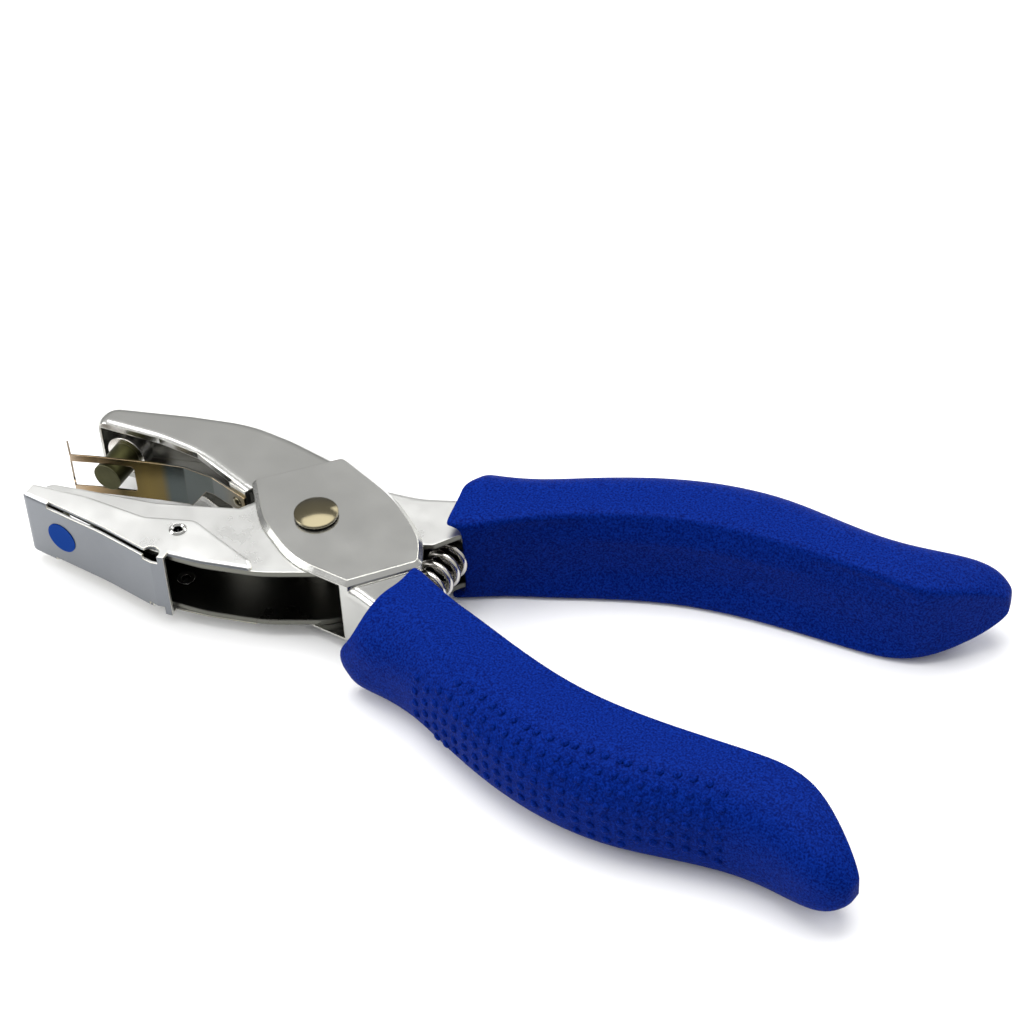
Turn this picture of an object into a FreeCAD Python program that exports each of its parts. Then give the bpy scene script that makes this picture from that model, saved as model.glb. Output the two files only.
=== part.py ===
import FreeCAD, Part
import math
import os
import Sketcher

os.makedirs("parts", exist_ok=True)
doc = FreeCAD.newDocument("hole_punch_pliers")
Vector = FreeCAD.Vector

# Driving dimensions, in millimetres, kept in the sheet
SIZES = {
    # Reach of the jaws, the pivot plates and the handles from the pivot axis
    "jaw_reach": 55,
    "plate_reach": 16,
    "handle_reach": 125,
    "lip_reach": 58.4,
    # Formed steel levers
    "lever_sheet": 1.2,
    "channel_height": 13.6,
    "side_gap": 0.15,
    "web_bend": 1.8,
    "paper_bend": 0.7,
    "jaw_round": 2.4,
    "margin_trim": 1.0,
    "margin_lip": 2.0,
    "joggle_wall": 1.4,
    "joggle_bevel": 0.9,
    # Pivot rivet, washers and bush
    "rivet_diameter": 5.0,
    "head_diameter": 8.5,
    "head_rim": 0.45,
    "head_dome": 0.85,
    "washer_diameter": 6.6,
    "washer_thickness": 0.35,
    "bush_diameter": 9.0,
    "running_clearance": 0.05,
    # Punch and die
    "punch_rise": 0.6,
    "punch_diameter": 6.0,
    "punch_length": 7.2,
    "shank_diameter": 3.6,
    "holder_diameter": 8.4,
    "holder_length": 3.2,
    "neck_diameter": 5.6,
    "die_clearance": 0.15,
    "die_ring_diameter": 9.4,
    "die_ring_thickness": 2.2,
    "die_closing_degrees": 12.7,
    # Stripper strip, its tab and its rivet
    "strip_thickness": 0.4,
    "strip_width": 9.6,
    "strip_arm": 1.6,
    "strip_tail_width": 4.4,
    "strip_bar": 1.6,
    "tab_thickness": 1.2,
    "tab_gap": 0.05,
    "strip_rivet_diameter": 1.6,
    "strip_rivet_head": 2.4,
    "strip_rivet_height": 0.5,
    "strip_rivet_clearance": 0.15,
    # Chip tray, its eyelets and its colour dot
    "tray_sheet": 0.6,
    "tray_gap": 0.1,
    "tray_bend": 0.9,
    "tray_nose_round": 5.6,
    "slit_width": 0.8,
    "slit_depth": 1.1,
    "notch_diameter": 3.6,
    "notch_depth": 1.9,
    "eyelet_diameter": 2.6,
    "eyelet_bore": 1.7,
    "eyelet_flange": 3.5,
    "eyelet_flange_thickness": 0.4,
    "dot_diameter": 6.6,
    "dot_thickness": 0.15,
    # Return spring and its seats
    "spring_wire": 1.4,
    "spring_coil_diameter": 8.0,
    "spring_lead_rise": 2.4,
    "spring_place": 24.3,
    "spring_half_length": 14.5,
    "seat_width": 9.2,
    "seat_height": 9.2,
    "stub_diameter": 4.4,
    "stub_length": 2.4,
    # Grip sleeves
    "grip_height": 20.0,
    "grip_inner_round": 1.2,
    "grip_outer_round": 7.0,
    "mouth_place": 28.6,
    "sleeve_clearance": 0.05,
}
SPRING_QUARTER_TURNS = 38
# Two sides of an outline count as a corner when the sine of their turn is larger
CORNER_SINE = 0.6

table = doc.addObject("Spreadsheet::Sheet", "Sizes")
for row, (alias, number) in enumerate(SIZES.items(), start=1):
    table.set(f"A{row}", alias)
    table.set(f"B{row}", str(number))
    table.setAlias(f"B{row}", alias)
doc.recompute()


def size(alias):
    return float(table.get(alias))


jaw_reach = size("jaw_reach")
plate_reach = size("plate_reach")
handle_reach = size("handle_reach")
lever_sheet = size("lever_sheet")
cheek_outside = size("channel_height") / 2
plate_inside = cheek_outside + size("side_gap")
plate_outside = plate_inside + lever_sheet
tray_outside = cheek_outside + size("tray_gap") + size("tray_sheet")
overrun = lever_sheet
grip_half = size("grip_height") / 2
# The origin is under the middle of the whole tool, on the plane that the grips rest on
pivot_place = Vector((size("lip_reach") - handle_reach) / 2, 0, grip_half)


# Outlines: closed loops of (x, y, corner radius), counter-clockwise, in the pivot's plan
def scaled(reach, shares):
    return [tuple(reach * share for share in corner) for corner in shares]


def mirrored(corners):
    return [(x, -y, radius) for x, y, radius in reversed(corners)]


def direction(start, end):
    return Vector(end[0] - start[0], end[1] - start[1], 0).normalize()


def moved_outline(corners, moves):
    """Each side of a loop moved inwards by its own distance, with a step where two distances differ."""
    count = len(corners)
    result = []
    for index in range(count):
        corner = corners[index]
        before = direction(corners[index - 1], corner)
        after = direction(corner, corners[(index + 1) % count])
        move_before = moves[index - 1]
        move_after = moves[index]
        left_before = Vector(-before.y, before.x, 0)
        left_after = Vector(-after.y, after.x, 0)
        spot = Vector(corner[0], corner[1], 0)
        if move_before == move_after:
            middle = (left_before + left_after).normalize()
            reach = move_after / max(middle.dot(left_after), 0.2)
            turn = before.cross(after).z
            radius = corner[2] - math.copysign(move_after, turn)
            moved = spot + middle * reach
            result.append((moved.x, moved.y, max(radius, 0)))
        elif abs(before.cross(after).z) > CORNER_SINE:
            slide = (move_after - move_before * left_before.dot(left_after)) / before.dot(left_after)
            moved = spot + left_before * move_before + before * slide
            result.append((moved.x, moved.y, 0))
        else:
            first = spot + left_before * move_before
            second = spot + left_after * move_after
            result.append((first.x, first.y, 0))
            result.append((second.x, second.y, 0))
    return result


def rounded(corners):
    """The lines and tangent arcs of a loop, each as (corner number, its two or three points)."""
    count = len(corners)
    arcs = []
    for index in range(count):
        corner = Vector(corners[index][0], corners[index][1], 0)
        to_before = Vector(corners[index - 1][0], corners[index - 1][1], 0) - corner
        to_after = Vector(corners[(index + 1) % count][0], corners[(index + 1) % count][1], 0) - corner
        room = min(to_before.Length, to_after.Length) * 0.49
        half = to_before.getAngle(to_after) / 2
        back = min(corners[index][2] / math.tan(half), room)
        to_before.normalize()
        to_after.normalize()
        if back < lever_sheet / 1000:
            arcs.append((corner, None, corner))
            continue
        middle = (to_before + to_after).normalize()
        radius = back * math.tan(half)
        depth = radius / math.sin(half) - radius
        arcs.append((corner + to_before * back, corner + middle * depth, corner + to_after * back))
    pieces = []
    for index in range(count):
        start, middle, end = arcs[index]
        if middle is not None:
            pieces.append((index, (start, middle, end)))
        pieces.append((index + 0.5, (end, arcs[(index + 1) % count][0])))
    return pieces


def middle_point(points):
    if len(points) == 3:
        return points[1]
    return (points[0] + points[1]) / 2


def plane_of(body, role):
    return next(item for item in body.Origin.OriginFeatures if item.Role == role)


def new_body(name):
    body = doc.addObject("PartDesign::Body", name + "_body")
    body.Label = name
    return body


def sketch_on(body, name, role="XY_Plane"):
    sketch = body.newObject("Sketcher::SketchObject", name)
    sketch.AttachmentSupport = [(plane_of(body, role), "")]
    sketch.MapMode = "FlatFace"
    return sketch


def join_ends(sketch, first, second):
    """Ties the nearest ends of two curves of a sketch."""
    pairs = [(a, b) for a in (1, 2) for b in (1, 2)]
    gap = min(pairs, key=lambda p: (sketch.getPoint(first, p[0]) - sketch.getPoint(second, p[1])).Length)
    return Sketcher.Constraint("Coincident", first, gap[0], second, gap[1])


def draw_loop(sketch, corners):
    """Draws a rounded loop in a sketch and returns its pieces."""
    pieces = rounded(corners)
    curves = []
    for _, points in pieces:
        if len(points) == 3:
            curves.append(Part.Arc(*points))
        else:
            curves.append(Part.LineSegment(*points))
    numbers = [sketch.addGeometry(curve) for curve in curves]
    ties = [join_ends(sketch, numbers[i - 1], numbers[i]) for i in range(len(numbers))]
    sketch.addConstraint(ties)
    return pieces


def draw_circle(sketch, x, y, expression):
    diameter = float(sketch.evalExpression(expression))
    number = sketch.addGeometry(Part.Circle(Vector(x, y, 0), Vector(0, 0, 1), diameter / 2))
    tie = sketch.addConstraint(Sketcher.Constraint("Diameter", number, diameter))
    sketch.setExpression(f"Constraints[{tie}]", expression)
    return number


def pad(body, sketch, name, expression):
    feature = body.newObject("PartDesign::Pad", name)
    feature.Profile = sketch
    feature.SideType = "Symmetric"
    feature.setExpression("Length", expression)
    doc.recompute()
    return feature


def pocket(body, sketch, name, expression):
    feature = body.newObject("PartDesign::Pocket", name)
    feature.Profile = sketch
    feature.SideType = "Symmetric"
    feature.setExpression("Length", expression)
    doc.recompute()
    return feature


def rims(feature, pieces, first, last, height):
    """The names of a block's top and bottom edges along a stretch of its loop."""
    wanted = [middle_point(points) for number, points in pieces if first <= number <= last]
    names = []
    for number, edge in enumerate(feature.Shape.Edges, start=1):
        point = edge.valueAt((edge.FirstParameter + edge.LastParameter) / 2)
        on_rim = abs(abs(point.z) - height) < lever_sheet / 100
        near = any(math.hypot(point.x - want.x, point.y - want.y) < lever_sheet / 4 for want in wanted)
        if on_rim and near:
            names.append(f"Edge{number}")
    return names


def fillet(body, base, names, name, expression):
    feature = body.newObject("PartDesign::Fillet", name)
    feature.Base = (base, names)
    feature.setExpression("Radius", expression)
    doc.recompute()
    return feature


def place(body):
    body.Placement = FreeCAD.Placement(pivot_place, FreeCAD.Rotation())


def box_loop(x_low, x_high, y_low, y_high):
    return [(x_low, y_low, 0), (x_high, y_low, 0), (x_high, y_high, 0), (x_low, y_high, 0)]


# Shares of the reaches, chosen along the real outlines
die_nose_shares = [
    (-0.972, -0.2018, 0.0418),
    (-0.977, -0.2745, 0),
    (-0.9, -0.2873, 0.3636),
    (-0.4455, -0.3582, 0.3636),
    (-0.2636, -0.3491, 0.4545),
]
die_belly_shares = [
    (-0.1875, -1.05, 1.5625),
    (0.4688, -0.7625, 0.625),
    (1, -0.3125, 0.5),
    (1.275, 0.1, 0.1875),
]
handle_inner_shares = [
    (0.1872, 0.0224, 0.012),
    (0.2112, 0.0552, 0.048),
    (0.264, 0.1056, 0.16),
    (0.384, 0.1632, 0.48),
    (0.56, 0.216, 0.48),
    (0.72, 0.2256, 0.48),
    (0.872, 0.224, 0),
]
handle_outer_shares = [
    (0.8768, 0.2768, 0),
    (0.76, 0.2832, 0.48),
    (0.624, 0.304, 0.32),
    (0.496, 0.2848, 0.48),
    (0.368, 0.2352, 0.48),
    (0.264, 0.176, 0.24),
    (0.18, 0.136, 0.12),
    (0.12, 0.1144, 0.12),
    (0.06, 0.108, 0),
]
die_crown_shares = [
    (-0.1562, 0.8375, 0.5),
    (-0.6562, 0.525, 0.5),
    (-0.8375, 0.125, 0.1875),
]
die_throat_shares = [
    (-0.3055, -0.0545, 0),
    (-0.5636, -0.1382, 0.2727),
]
jaw_margin_shares = [
    (-1.0036, 0.1309, 0.0509),
    (-0.7382, 0.1418, 0.5455),
    (-0.5691, 0.1255, 0.5455),
    (-0.3382, 0.0382, 0),
]
jaw_root_shares = [
    (-0.8125, 0.0312, 0),
    (-0.0625, 0.875, 0),
]
jaw_back_shares = [
    (-0.1091, 0.3164, 0),
    (-0.2836, 0.352, 0.5455),
    (-0.4727, 0.3727, 0.5455),
    (-0.7, 0.3273, 0.5455),
    (-1.0091, 0.2473, 0.1),
]
plate_shares = [
    (-1.0562, 0.275, 0.0938),
    (-0.6, -0.3375, 1.25),
    (0.1, -0.8063, 1.25),
    (0.8875, -0.8875, 0.0625),
    (1.525, -0.225, 0.125),
    (1.3562, 0.1625, 1.25),
    (0.7188, 0.6813, 2.5),
    (-0.225, 1.0813, 0.125),
]
tray_floor_shares = [
    (-1.0218, -0.2364, 0.0364),
    (-1.0291, -0.3, 0.0436),
    (-0.6709, -0.3473, 1.0909),
    (-0.4364, -0.3945, 0),
    (-0.3855, -0.3873, 0),
]
tray_wing_shares = [
    (-0.3855, -0.3636, 0),
    (-0.2636, -0.3509, 0.3636),
    (-0.0709, -0.3127, 0.0145),
    (-0.1127, -0.2691, 0.0273),
    (-0.3855, -0.1709, 0.0545),
    (-0.5564, -0.2255, 0.1091),
    (-0.7982, -0.2164, 0.1818),
]
strip_line_shares = [
    (-1.0582, 0.0436),
    (-1.0073, -0.0145),
    (-0.9127, 0.0145),
    (-0.7018, 0.0673),
    (-0.5964, 0.0891),
    (-0.4727, 0.0818),
    (-0.3909, 0.0564),
    (-0.3127, 0.0327),
]

eyelet_share = (-0.4127, -0.2418)
slit_shares = (0.34, 0.97)
dot_share = 0.475
window_end_share = -0.7818
punch_place_share = 0.8818

# Loops of the two levers, from the shares
far_handle = scaled(handle_reach, handle_inner_shares) + scaled(handle_reach, handle_outer_shares)
near_handle = mirrored(far_handle)
die_nose = scaled(jaw_reach, die_nose_shares)
die_belly = scaled(plate_reach, die_belly_shares)
die_crown = scaled(plate_reach, die_crown_shares)
die_throat = scaled(jaw_reach, die_throat_shares)
die_loop = die_nose + die_belly + far_handle + die_crown + die_throat
jaw_loop = (
    scaled(jaw_reach, jaw_margin_shares)
    + scaled(plate_reach, jaw_root_shares)
    + scaled(jaw_reach, jaw_back_shares)
)
plate_loop = scaled(plate_reach, plate_shares)

tray_floor = scaled(jaw_reach, tray_floor_shares)
tray_wing = scaled(jaw_reach, tray_wing_shares)
strip_line = [Vector(x, y, 0) for x, y in scaled(jaw_reach, strip_line_shares)]
eyelet_place = Vector(jaw_reach * eyelet_share[0], jaw_reach * eyelet_share[1], 0)
window_end = jaw_reach * window_end_share

# Holes that a rivet, an eyelet or a shank passes through
RIVET_HOLE = "Sizes.rivet_diameter + 2 * Sizes.running_clearance"
EYELET_HOLE = "Sizes.eyelet_diameter + 2 * Sizes.running_clearance"
DIE_RING_HOLE = "Sizes.die_ring_diameter + 2 * Sizes.running_clearance"
SHANK_HOLE = "Sizes.shank_diameter + 2 * Sizes.running_clearance"
STRIP_RIVET_HOLE = "Sizes.strip_rivet_diameter + 2 * Sizes.strip_rivet_clearance"

# Numbers of the corners where the die lever's webs begin and end
inner_count = len(handle_inner_shares)
outer_first = len(die_nose) + len(die_belly) + inner_count
outer_last = outer_first + len(handle_outer_shares) - 1
throat_first = outer_last + 1 + len(die_crown)

# The inside of the upper jaw, clear of its web and of its margins
margin_count = len(jaw_margin_shares)
back_first = margin_count + len(jaw_root_shares)
jaw_moves = [-overrun] * len(jaw_loop)
for side in range(back_first, len(jaw_loop)):
    jaw_moves[side] = lever_sheet
for side in range(margin_count - 1):
    jaw_moves[side] = size("margin_trim") + size("margin_lip")
jaw_inner_loop = moved_outline(jaw_loop, jaw_moves)

# Punch place: its axis is square to the pivot's radius, so the rotation drives it straight in
punch_x = -jaw_reach * punch_place_share
punch_y = size("punch_rise")

# The jaw's web behind the punch: its outer face, measured on the punch's axis
web_slope = (jaw_loop[-2][1] - jaw_loop[-1][1]) / (jaw_loop[-2][0] - jaw_loop[-1][0])
web_y = jaw_loop[-1][1] + web_slope * (punch_x - jaw_loop[-1][0])
web_inside = web_y - web_slope * size("neck_diameter") / 2 - lever_sheet * math.hypot(1, web_slope)

# The die's face line, and the hole's place on it when the jaws have closed
face_start = Vector(die_throat[1][0], die_throat[1][1], 0)
face_end = Vector(die_nose[0][0], die_nose[0][1], 0)
face_along = (face_end - face_start).normalize()
face_outward = Vector(face_along.y, -face_along.x, 0)
closing = math.radians(size("die_closing_degrees"))
hole_guess = Vector(
    punch_x * math.cos(closing) - punch_y * math.sin(closing),
    punch_x * math.sin(closing) + punch_y * math.cos(closing),
    0,
)
hole_place = face_start + face_along * face_along.dot(hole_guess - face_start)


# The strip's tail lies on a tab, and its rivet sits in the middle of the tail
tail_along = (strip_line[-1] - strip_line[-2]).normalize()
tab_outward = Vector(tail_along.y, -tail_along.x, 0)
rivet_rise = (size("strip_width") - size("strip_tail_width")) / 2
rivet_on_strip = (strip_line[-1] + strip_line[-2]) / 2 + Vector(0, 0, rivet_rise)
tab_near = tab_outward * -(size("strip_thickness") / 2 + size("tab_gap"))
tab_far = tab_near - tab_outward * size("tab_thickness")
tab_start, tab_end = strip_line[-2:]
tab_corners = [tab_start + tab_near, tab_end + tab_near, tab_end + tab_far, tab_start + tab_far]
tab_loop = [(corner.x, corner.y, 0) for corner in tab_corners]


def axis_frame(origin, axis):
    """A placement whose Z runs along the axis, in the tool's plan."""
    return FreeCAD.Placement(pivot_place + origin, FreeCAD.Rotation(Vector(0, 0, 1), axis))


# Die lever: lower jaw, pivot cheeks and far handle, one bent channel
def make_die_lever():
    body = new_body("die_lever")
    blank = sketch_on(body, "die_blank")
    pieces = draw_loop(blank, die_loop)
    solid = pad(body, blank, "die_block", "Sizes.channel_height")
    names = rims(solid, pieces, outer_first + 0.5, outer_last - 0.5, cheek_outside)
    bends = fillet(body, solid, names, "die_bends", "Sizes.web_bend")
    names = rims(bends, pieces, throat_first + 0.5, len(die_loop), cheek_outside)
    names += rims(bends, pieces, 0, 0.5, cheek_outside)
    fillet(body, bends, names, "paper_bends", "Sizes.paper_bend")
    moves = [-overrun] * len(die_loop)
    for side in range(outer_first, outer_last):
        moves[side] = lever_sheet
    for side in range(throat_first, len(die_loop)):
        moves[side] = lever_sheet
    moves[0] = lever_sheet
    hollow = sketch_on(body, "die_hollow_loop")
    draw_loop(hollow, moved_outline(die_loop, moves))
    pocket(body, hollow, "die_hollow", "Sizes.channel_height - 2 * Sizes.lever_sheet")
    add_spring_seat(body, "die", 1)
    holes = sketch_on(body, "die_pivot_circle")
    draw_circle(holes, 0, 0, RIVET_HOLE)
    draw_circle(holes, eyelet_place.x, eyelet_place.y, EYELET_HOLE)
    pocket(body, holes, "die_pivot_hole", "2 * Sizes.channel_height")
    cut_web_hole(body, "die_hole", hole_place, face_outward, DIE_RING_HOLE)
    place(body)
    return body


def add_spring_seat(body, name, side):
    """A flat pressed into the handle's web for the spring, with a stub that holds the coil."""
    left = size("spring_place") - size("seat_width") / 2
    right = size("spring_place") + size("seat_width") / 2
    flat = size("spring_half_length")
    outer = scaled(handle_reach, handle_outer_shares)
    loop = [(left, flat, 0), (right, flat, 0)]
    loop += [(right, web_middle(outer, right), 0), (left, web_middle(outer, left), 0)]
    if side < 0:
        loop = mirrored(loop)
    flat_sketch = sketch_on(body, name + "_seat_loop")
    draw_loop(flat_sketch, loop)
    pad(body, flat_sketch, name + "_seat", "Sizes.seat_height")
    foot = Vector(size("spring_place"), side * flat, 0)
    stub = square_sketch(body, name + "_stub_circle", foot, Vector(0, 1, 0))
    draw_circle(stub, 0, 0, "Sizes.stub_diameter")
    pad(body, stub, name + "_stub", "2 * Sizes.stub_length")


def web_middle(corners, x):
    """The plan height of the middle of the web's thickness at a place along the handle."""
    for start, end in zip(corners, corners[1:]):
        if end[0] <= x <= start[0]:
            share = (x - start[0]) / (end[0] - start[0])
            return start[1] + share * (end[1] - start[1]) - lever_sheet / 2
    return corners[-1][1] - lever_sheet / 2


def square_sketch(body, name, origin, outward):
    """A sketch square to a direction of the plan, with its own origin."""
    sketch = sketch_on(body, name)
    sketch.AttachmentOffset = FreeCAD.Placement(origin, FreeCAD.Rotation(Vector(0, 0, 1), outward))
    return sketch


def cut_web_hole(body, name, origin, outward, expression):
    """A round hole through a web, square to it."""
    sketch = square_sketch(body, name + "_circle", origin, outward)
    draw_circle(sketch, 0, 0, expression)
    pocket(body, sketch, name, "4 * Sizes.lever_sheet")


# Punch lever: upper jaw, the two round pivot plates and the near handle, one formed channel
def make_punch_lever():
    body = new_body("punch_lever")
    jaw_blank = sketch_on(body, "jaw_blank")
    jaw_pieces = draw_loop(jaw_blank, jaw_loop)
    jaw_block = pad(body, jaw_blank, "jaw_block", "Sizes.channel_height")
    names = rims(jaw_block, jaw_pieces, back_first + 0.5, len(jaw_loop), cheek_outside)
    names += rims(jaw_block, jaw_pieces, 0, margin_count - 1.5, cheek_outside)
    fillet(body, jaw_block, names, "jaw_rounds", "Sizes.jaw_round")
    handle_blank = sketch_on(body, "near_handle_blank")
    handle_pieces = draw_loop(handle_blank, near_handle)
    handle_block = pad(body, handle_blank, "near_handle_block", "Sizes.channel_height")
    outer_count = len(handle_outer_shares)
    names = rims(handle_block, handle_pieces, 1.5, outer_count - 1.5, cheek_outside)
    fillet(body, handle_block, names, "near_bends", "Sizes.web_bend")
    plate_blank = sketch_on(body, "plate_blank")
    plate_pieces = draw_loop(plate_blank, plate_loop)
    across_plates = "Sizes.channel_height + 2 * (Sizes.side_gap + Sizes.lever_sheet)"
    plates = pad(body, plate_blank, "plate_block", across_plates)
    names = rims(plates, plate_pieces, 7.5, 7.5, plate_outside)
    names += rims(plates, plate_pieces, 3.5, 3.5, plate_outside)
    bevel = body.newObject("PartDesign::Chamfer", "joggle_bevels")
    bevel.Base = (plates, names)
    bevel.setExpression("Size", "Sizes.joggle_bevel")
    doc.recompute()

    # The space between the pivot plates runs between the two joggle walls
    first = Vector(plate_loop[7][0], plate_loop[7][1], 0)
    second = Vector(plate_loop[0][0], plate_loop[0][1], 0)
    along = (second - first).normalize()
    toward = Vector(-along.y, along.x, 0)
    jaw_wall = -toward.dot(first) - size("joggle_wall")
    lower = Vector(plate_loop[3][0], plate_loop[3][1], 0)
    handle_wall = toward.dot(lower) - size("joggle_wall")
    corners = []
    for across, distance in ((-1, -jaw_wall), (-1, handle_wall), (1, handle_wall), (1, -jaw_wall)):
        point = toward * distance + along * (across * -2 * plate_reach)
        corners.append((point.x, point.y, 0))
    gap_sketch = sketch_on(body, "plate_gap_loop")
    draw_loop(gap_sketch, corners)
    pocket(body, gap_sketch, "plate_gap", "Sizes.channel_height + 2 * Sizes.side_gap")

    # Hollow of the jaw: deep behind the margins, and shallower where the margins turn in
    moves = list(jaw_moves)
    deep = sketch_on(body, "jaw_deep_loop")
    draw_loop(deep, jaw_inner_loop)
    pocket(body, deep, "jaw_deep", "Sizes.channel_height - 2 * Sizes.lever_sheet")
    for side in range(margin_count - 1):
        moves[side] = -overrun
    mouth = sketch_on(body, "jaw_mouth_loop")
    draw_loop(mouth, moved_outline(jaw_loop, moves))
    pocket(body, mouth, "jaw_mouth", "Sizes.channel_height - 3 * Sizes.lever_sheet")

    # The margins' cut edges, which run a little past the strip's tab
    margin = scaled(jaw_reach, jaw_margin_shares)
    trim = [(x, y + size("margin_trim"), 0) for x, y, _ in reversed(margin)]
    slope = (trim[0][1] - trim[1][1]) / (trim[0][0] - trim[1][0])
    past_tab = 1.5 * lever_sheet
    trim[0] = (trim[0][0] + past_tab, trim[0][1] + slope * past_tab, 0)
    trim[-1] = (trim[-1][0] - lever_sheet, trim[-1][1], 0)
    trim += [(trim[-1][0], trim[-1][1] - 3 * lever_sheet, 0), (trim[0][0], trim[0][1] - 3 * lever_sheet, 0)]
    trim_sketch = sketch_on(body, "margin_trim_loop")
    draw_loop(trim_sketch, trim)
    pocket(body, trim_sketch, "margin_trim", "2 * Sizes.channel_height")

    # Hollow of the near handle
    moves = [-overrun] * len(near_handle)
    for side in range(1, outer_count - 1):
        moves[side] = lever_sheet
    moves[0] = lever_sheet
    hollow = sketch_on(body, "near_hollow_loop")
    draw_loop(hollow, moved_outline(near_handle, moves))
    pocket(body, hollow, "near_hollow", "Sizes.channel_height - 2 * Sizes.lever_sheet")
    add_spring_seat(body, "near", -1)

    # Tab bent down from the upper margin for the stripper strip
    tab_sketch = sketch_on(body, "strip_tab_loop")
    draw_loop(tab_sketch, tab_loop)
    tab = body.newObject("PartDesign::Pad", "strip_tab")
    tab.Profile = tab_sketch
    tab.SideType = "Two sides"
    tab.setExpression("Length", "Sizes.channel_height / 2 - Sizes.lever_sheet / 2")
    tab.setExpression("Length2", "Sizes.strip_rivet_head / 2")
    doc.recompute()
    cut_web_hole(body, "tab_hole", rivet_on_strip, tab_outward, STRIP_RIVET_HOLE)

    holes = sketch_on(body, "plate_pivot_circle")
    draw_circle(holes, 0, 0, RIVET_HOLE)
    pocket(body, holes, "plate_pivot_hole", "2 * Sizes.channel_height")
    cut_web_hole(body, "holder_hole", Vector(punch_x, web_y, 0), Vector(0, 1, 0), SHANK_HOLE)
    place(body)
    return body


def make_turned(label, profile, frame, mirror=False):
    """A round piece: its half section, in radius and height, turned about the frame's Z axis."""
    body = new_body(label)
    sketch = sketch_on(body, label + "_section", "XZ_Plane")
    count = len(profile)
    spots = [Vector(*[float(sketch.evalExpression(text)) for text in corner[:2]], 0) for corner in profile]
    numbers = []
    for index in range(count):
        start = spots[index]
        end = spots[(index + 1) % count]
        if "dome" in profile[index]:
            numbers.append(sketch.addGeometry(dome_arc(start, end)))
            sketch.addConstraint(Sketcher.Constraint("PointOnObject", numbers[-1], 3, -2))
        else:
            numbers.append(sketch.addGeometry(Part.LineSegment(start, end)))
    sketch.addConstraint([join_ends(sketch, numbers[i - 1], numbers[i]) for i in range(count)])
    for index, spot in enumerate(spots):
        end = min((1, 2), key=lambda side: (sketch.getPoint(numbers[index], side) - spot).Length)
        for kind, axis, number, text in zip(("DistanceX", "DistanceY"), (-2, -1), spot, profile[index]):
            if number == 0:
                sketch.addConstraint(Sketcher.Constraint("PointOnObject", numbers[index], end, axis))
            else:
                tie = sketch.addConstraint(Sketcher.Constraint(kind, -1, 1, numbers[index], end, number))
                sketch.setExpression(f"Constraints[{tie}]", text)
    turned = body.newObject("PartDesign::Revolution", label + "_turned")
    turned.Profile = sketch
    turned.ReferenceAxis = (sketch, ["V_Axis"])
    doc.recompute()
    if mirror:
        mirror_feature(body, [turned], label)
    body.Placement = frame
    return body


def dome_arc(start, end):
    """The arc of a domed head between its crown on the axis and its rim."""
    crown, rim = (start, end) if start.x < end.x else (end, start)
    rise = crown.y - rim.y
    radius = (rim.x**2 + rise**2) / (2 * rise)
    half = math.asin(rim.x / abs(radius)) / 2
    centre = crown - Vector(0, radius, 0)
    return Part.Arc(start, centre + Vector(abs(radius) * math.sin(half), radius * math.cos(half), 0), end)


def mirror_feature(body, originals, label):
    """Repeats features below the middle plane."""
    copy = body.newObject("PartDesign::Mirrored", label + "_pair")
    copy.Originals = originals
    copy.MirrorPlane = (plane_of(body, "XY_Plane"), [""])
    body.Tip = copy
    doc.recompute()


# Heights through the pivot, from the middle plane
PLATE_TOP = "(Sizes.channel_height / 2 + Sizes.side_gap + Sizes.lever_sheet)"
WASHER_FOOT = f"({PLATE_TOP} + Sizes.running_clearance)"
HEAD_FOOT = f"({WASHER_FOOT} + Sizes.washer_thickness)"


# Pivot rivet: shaft with a low domed head at each end, closed in assembly
def make_pivot_rivet():
    shaft = "Sizes.rivet_diameter / 2"
    head = "Sizes.head_diameter / 2"
    rim = f"{HEAD_FOOT} + Sizes.head_rim"
    crown = f"{rim} + Sizes.head_dome"
    profile = [
        ("0", f"-({crown})", "dome"),
        (head, f"-({rim})"),
        (head, f"-{HEAD_FOOT}"),
        (shaft, f"-{HEAD_FOOT}"),
        (shaft, HEAD_FOOT),
        (head, HEAD_FOOT),
        (head, rim, "dome"),
        ("0", crown),
    ]
    return make_turned("pivot_rivet", profile, FreeCAD.Placement(pivot_place, FreeCAD.Rotation()))


# Thin washers under both heads, narrower than the heads
def make_pivot_washers():
    inner = "(Sizes.rivet_diameter / 2 + Sizes.running_clearance)"
    outer = "Sizes.washer_diameter / 2"
    profile = [(inner, WASHER_FOOT), (outer, WASHER_FOOT), (outer, HEAD_FOOT), (inner, HEAD_FOOT)]
    frame = FreeCAD.Placement(pivot_place, FreeCAD.Rotation())
    return make_turned("pivot_washers", profile, frame, mirror=True)


# Bush on the rivet that keeps the die lever's cheeks apart
def make_pivot_bush():
    inner = "(Sizes.rivet_diameter / 2 + Sizes.running_clearance)"
    outer = "Sizes.bush_diameter / 2"
    end = "(Sizes.channel_height / 2 - Sizes.lever_sheet)"
    profile = [(inner, f"-{end}"), (outer, f"-{end}"), (outer, end), (inner, end)]
    return make_turned("pivot_bush", profile, FreeCAD.Placement(pivot_place, FreeCAD.Rotation()))


# Hardened ring set flush in the paper face, with the cutting hole
def make_die_ring():
    inner = "Sizes.punch_diameter / 2 + Sizes.die_clearance"
    outer = "Sizes.die_ring_diameter / 2"
    depth = "Sizes.die_ring_thickness"
    profile = [(inner, "0"), (outer, "0"), (outer, depth), (inner, depth)]
    return make_turned("die_ring", profile, axis_frame(hole_place, face_outward * -1))


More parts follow.
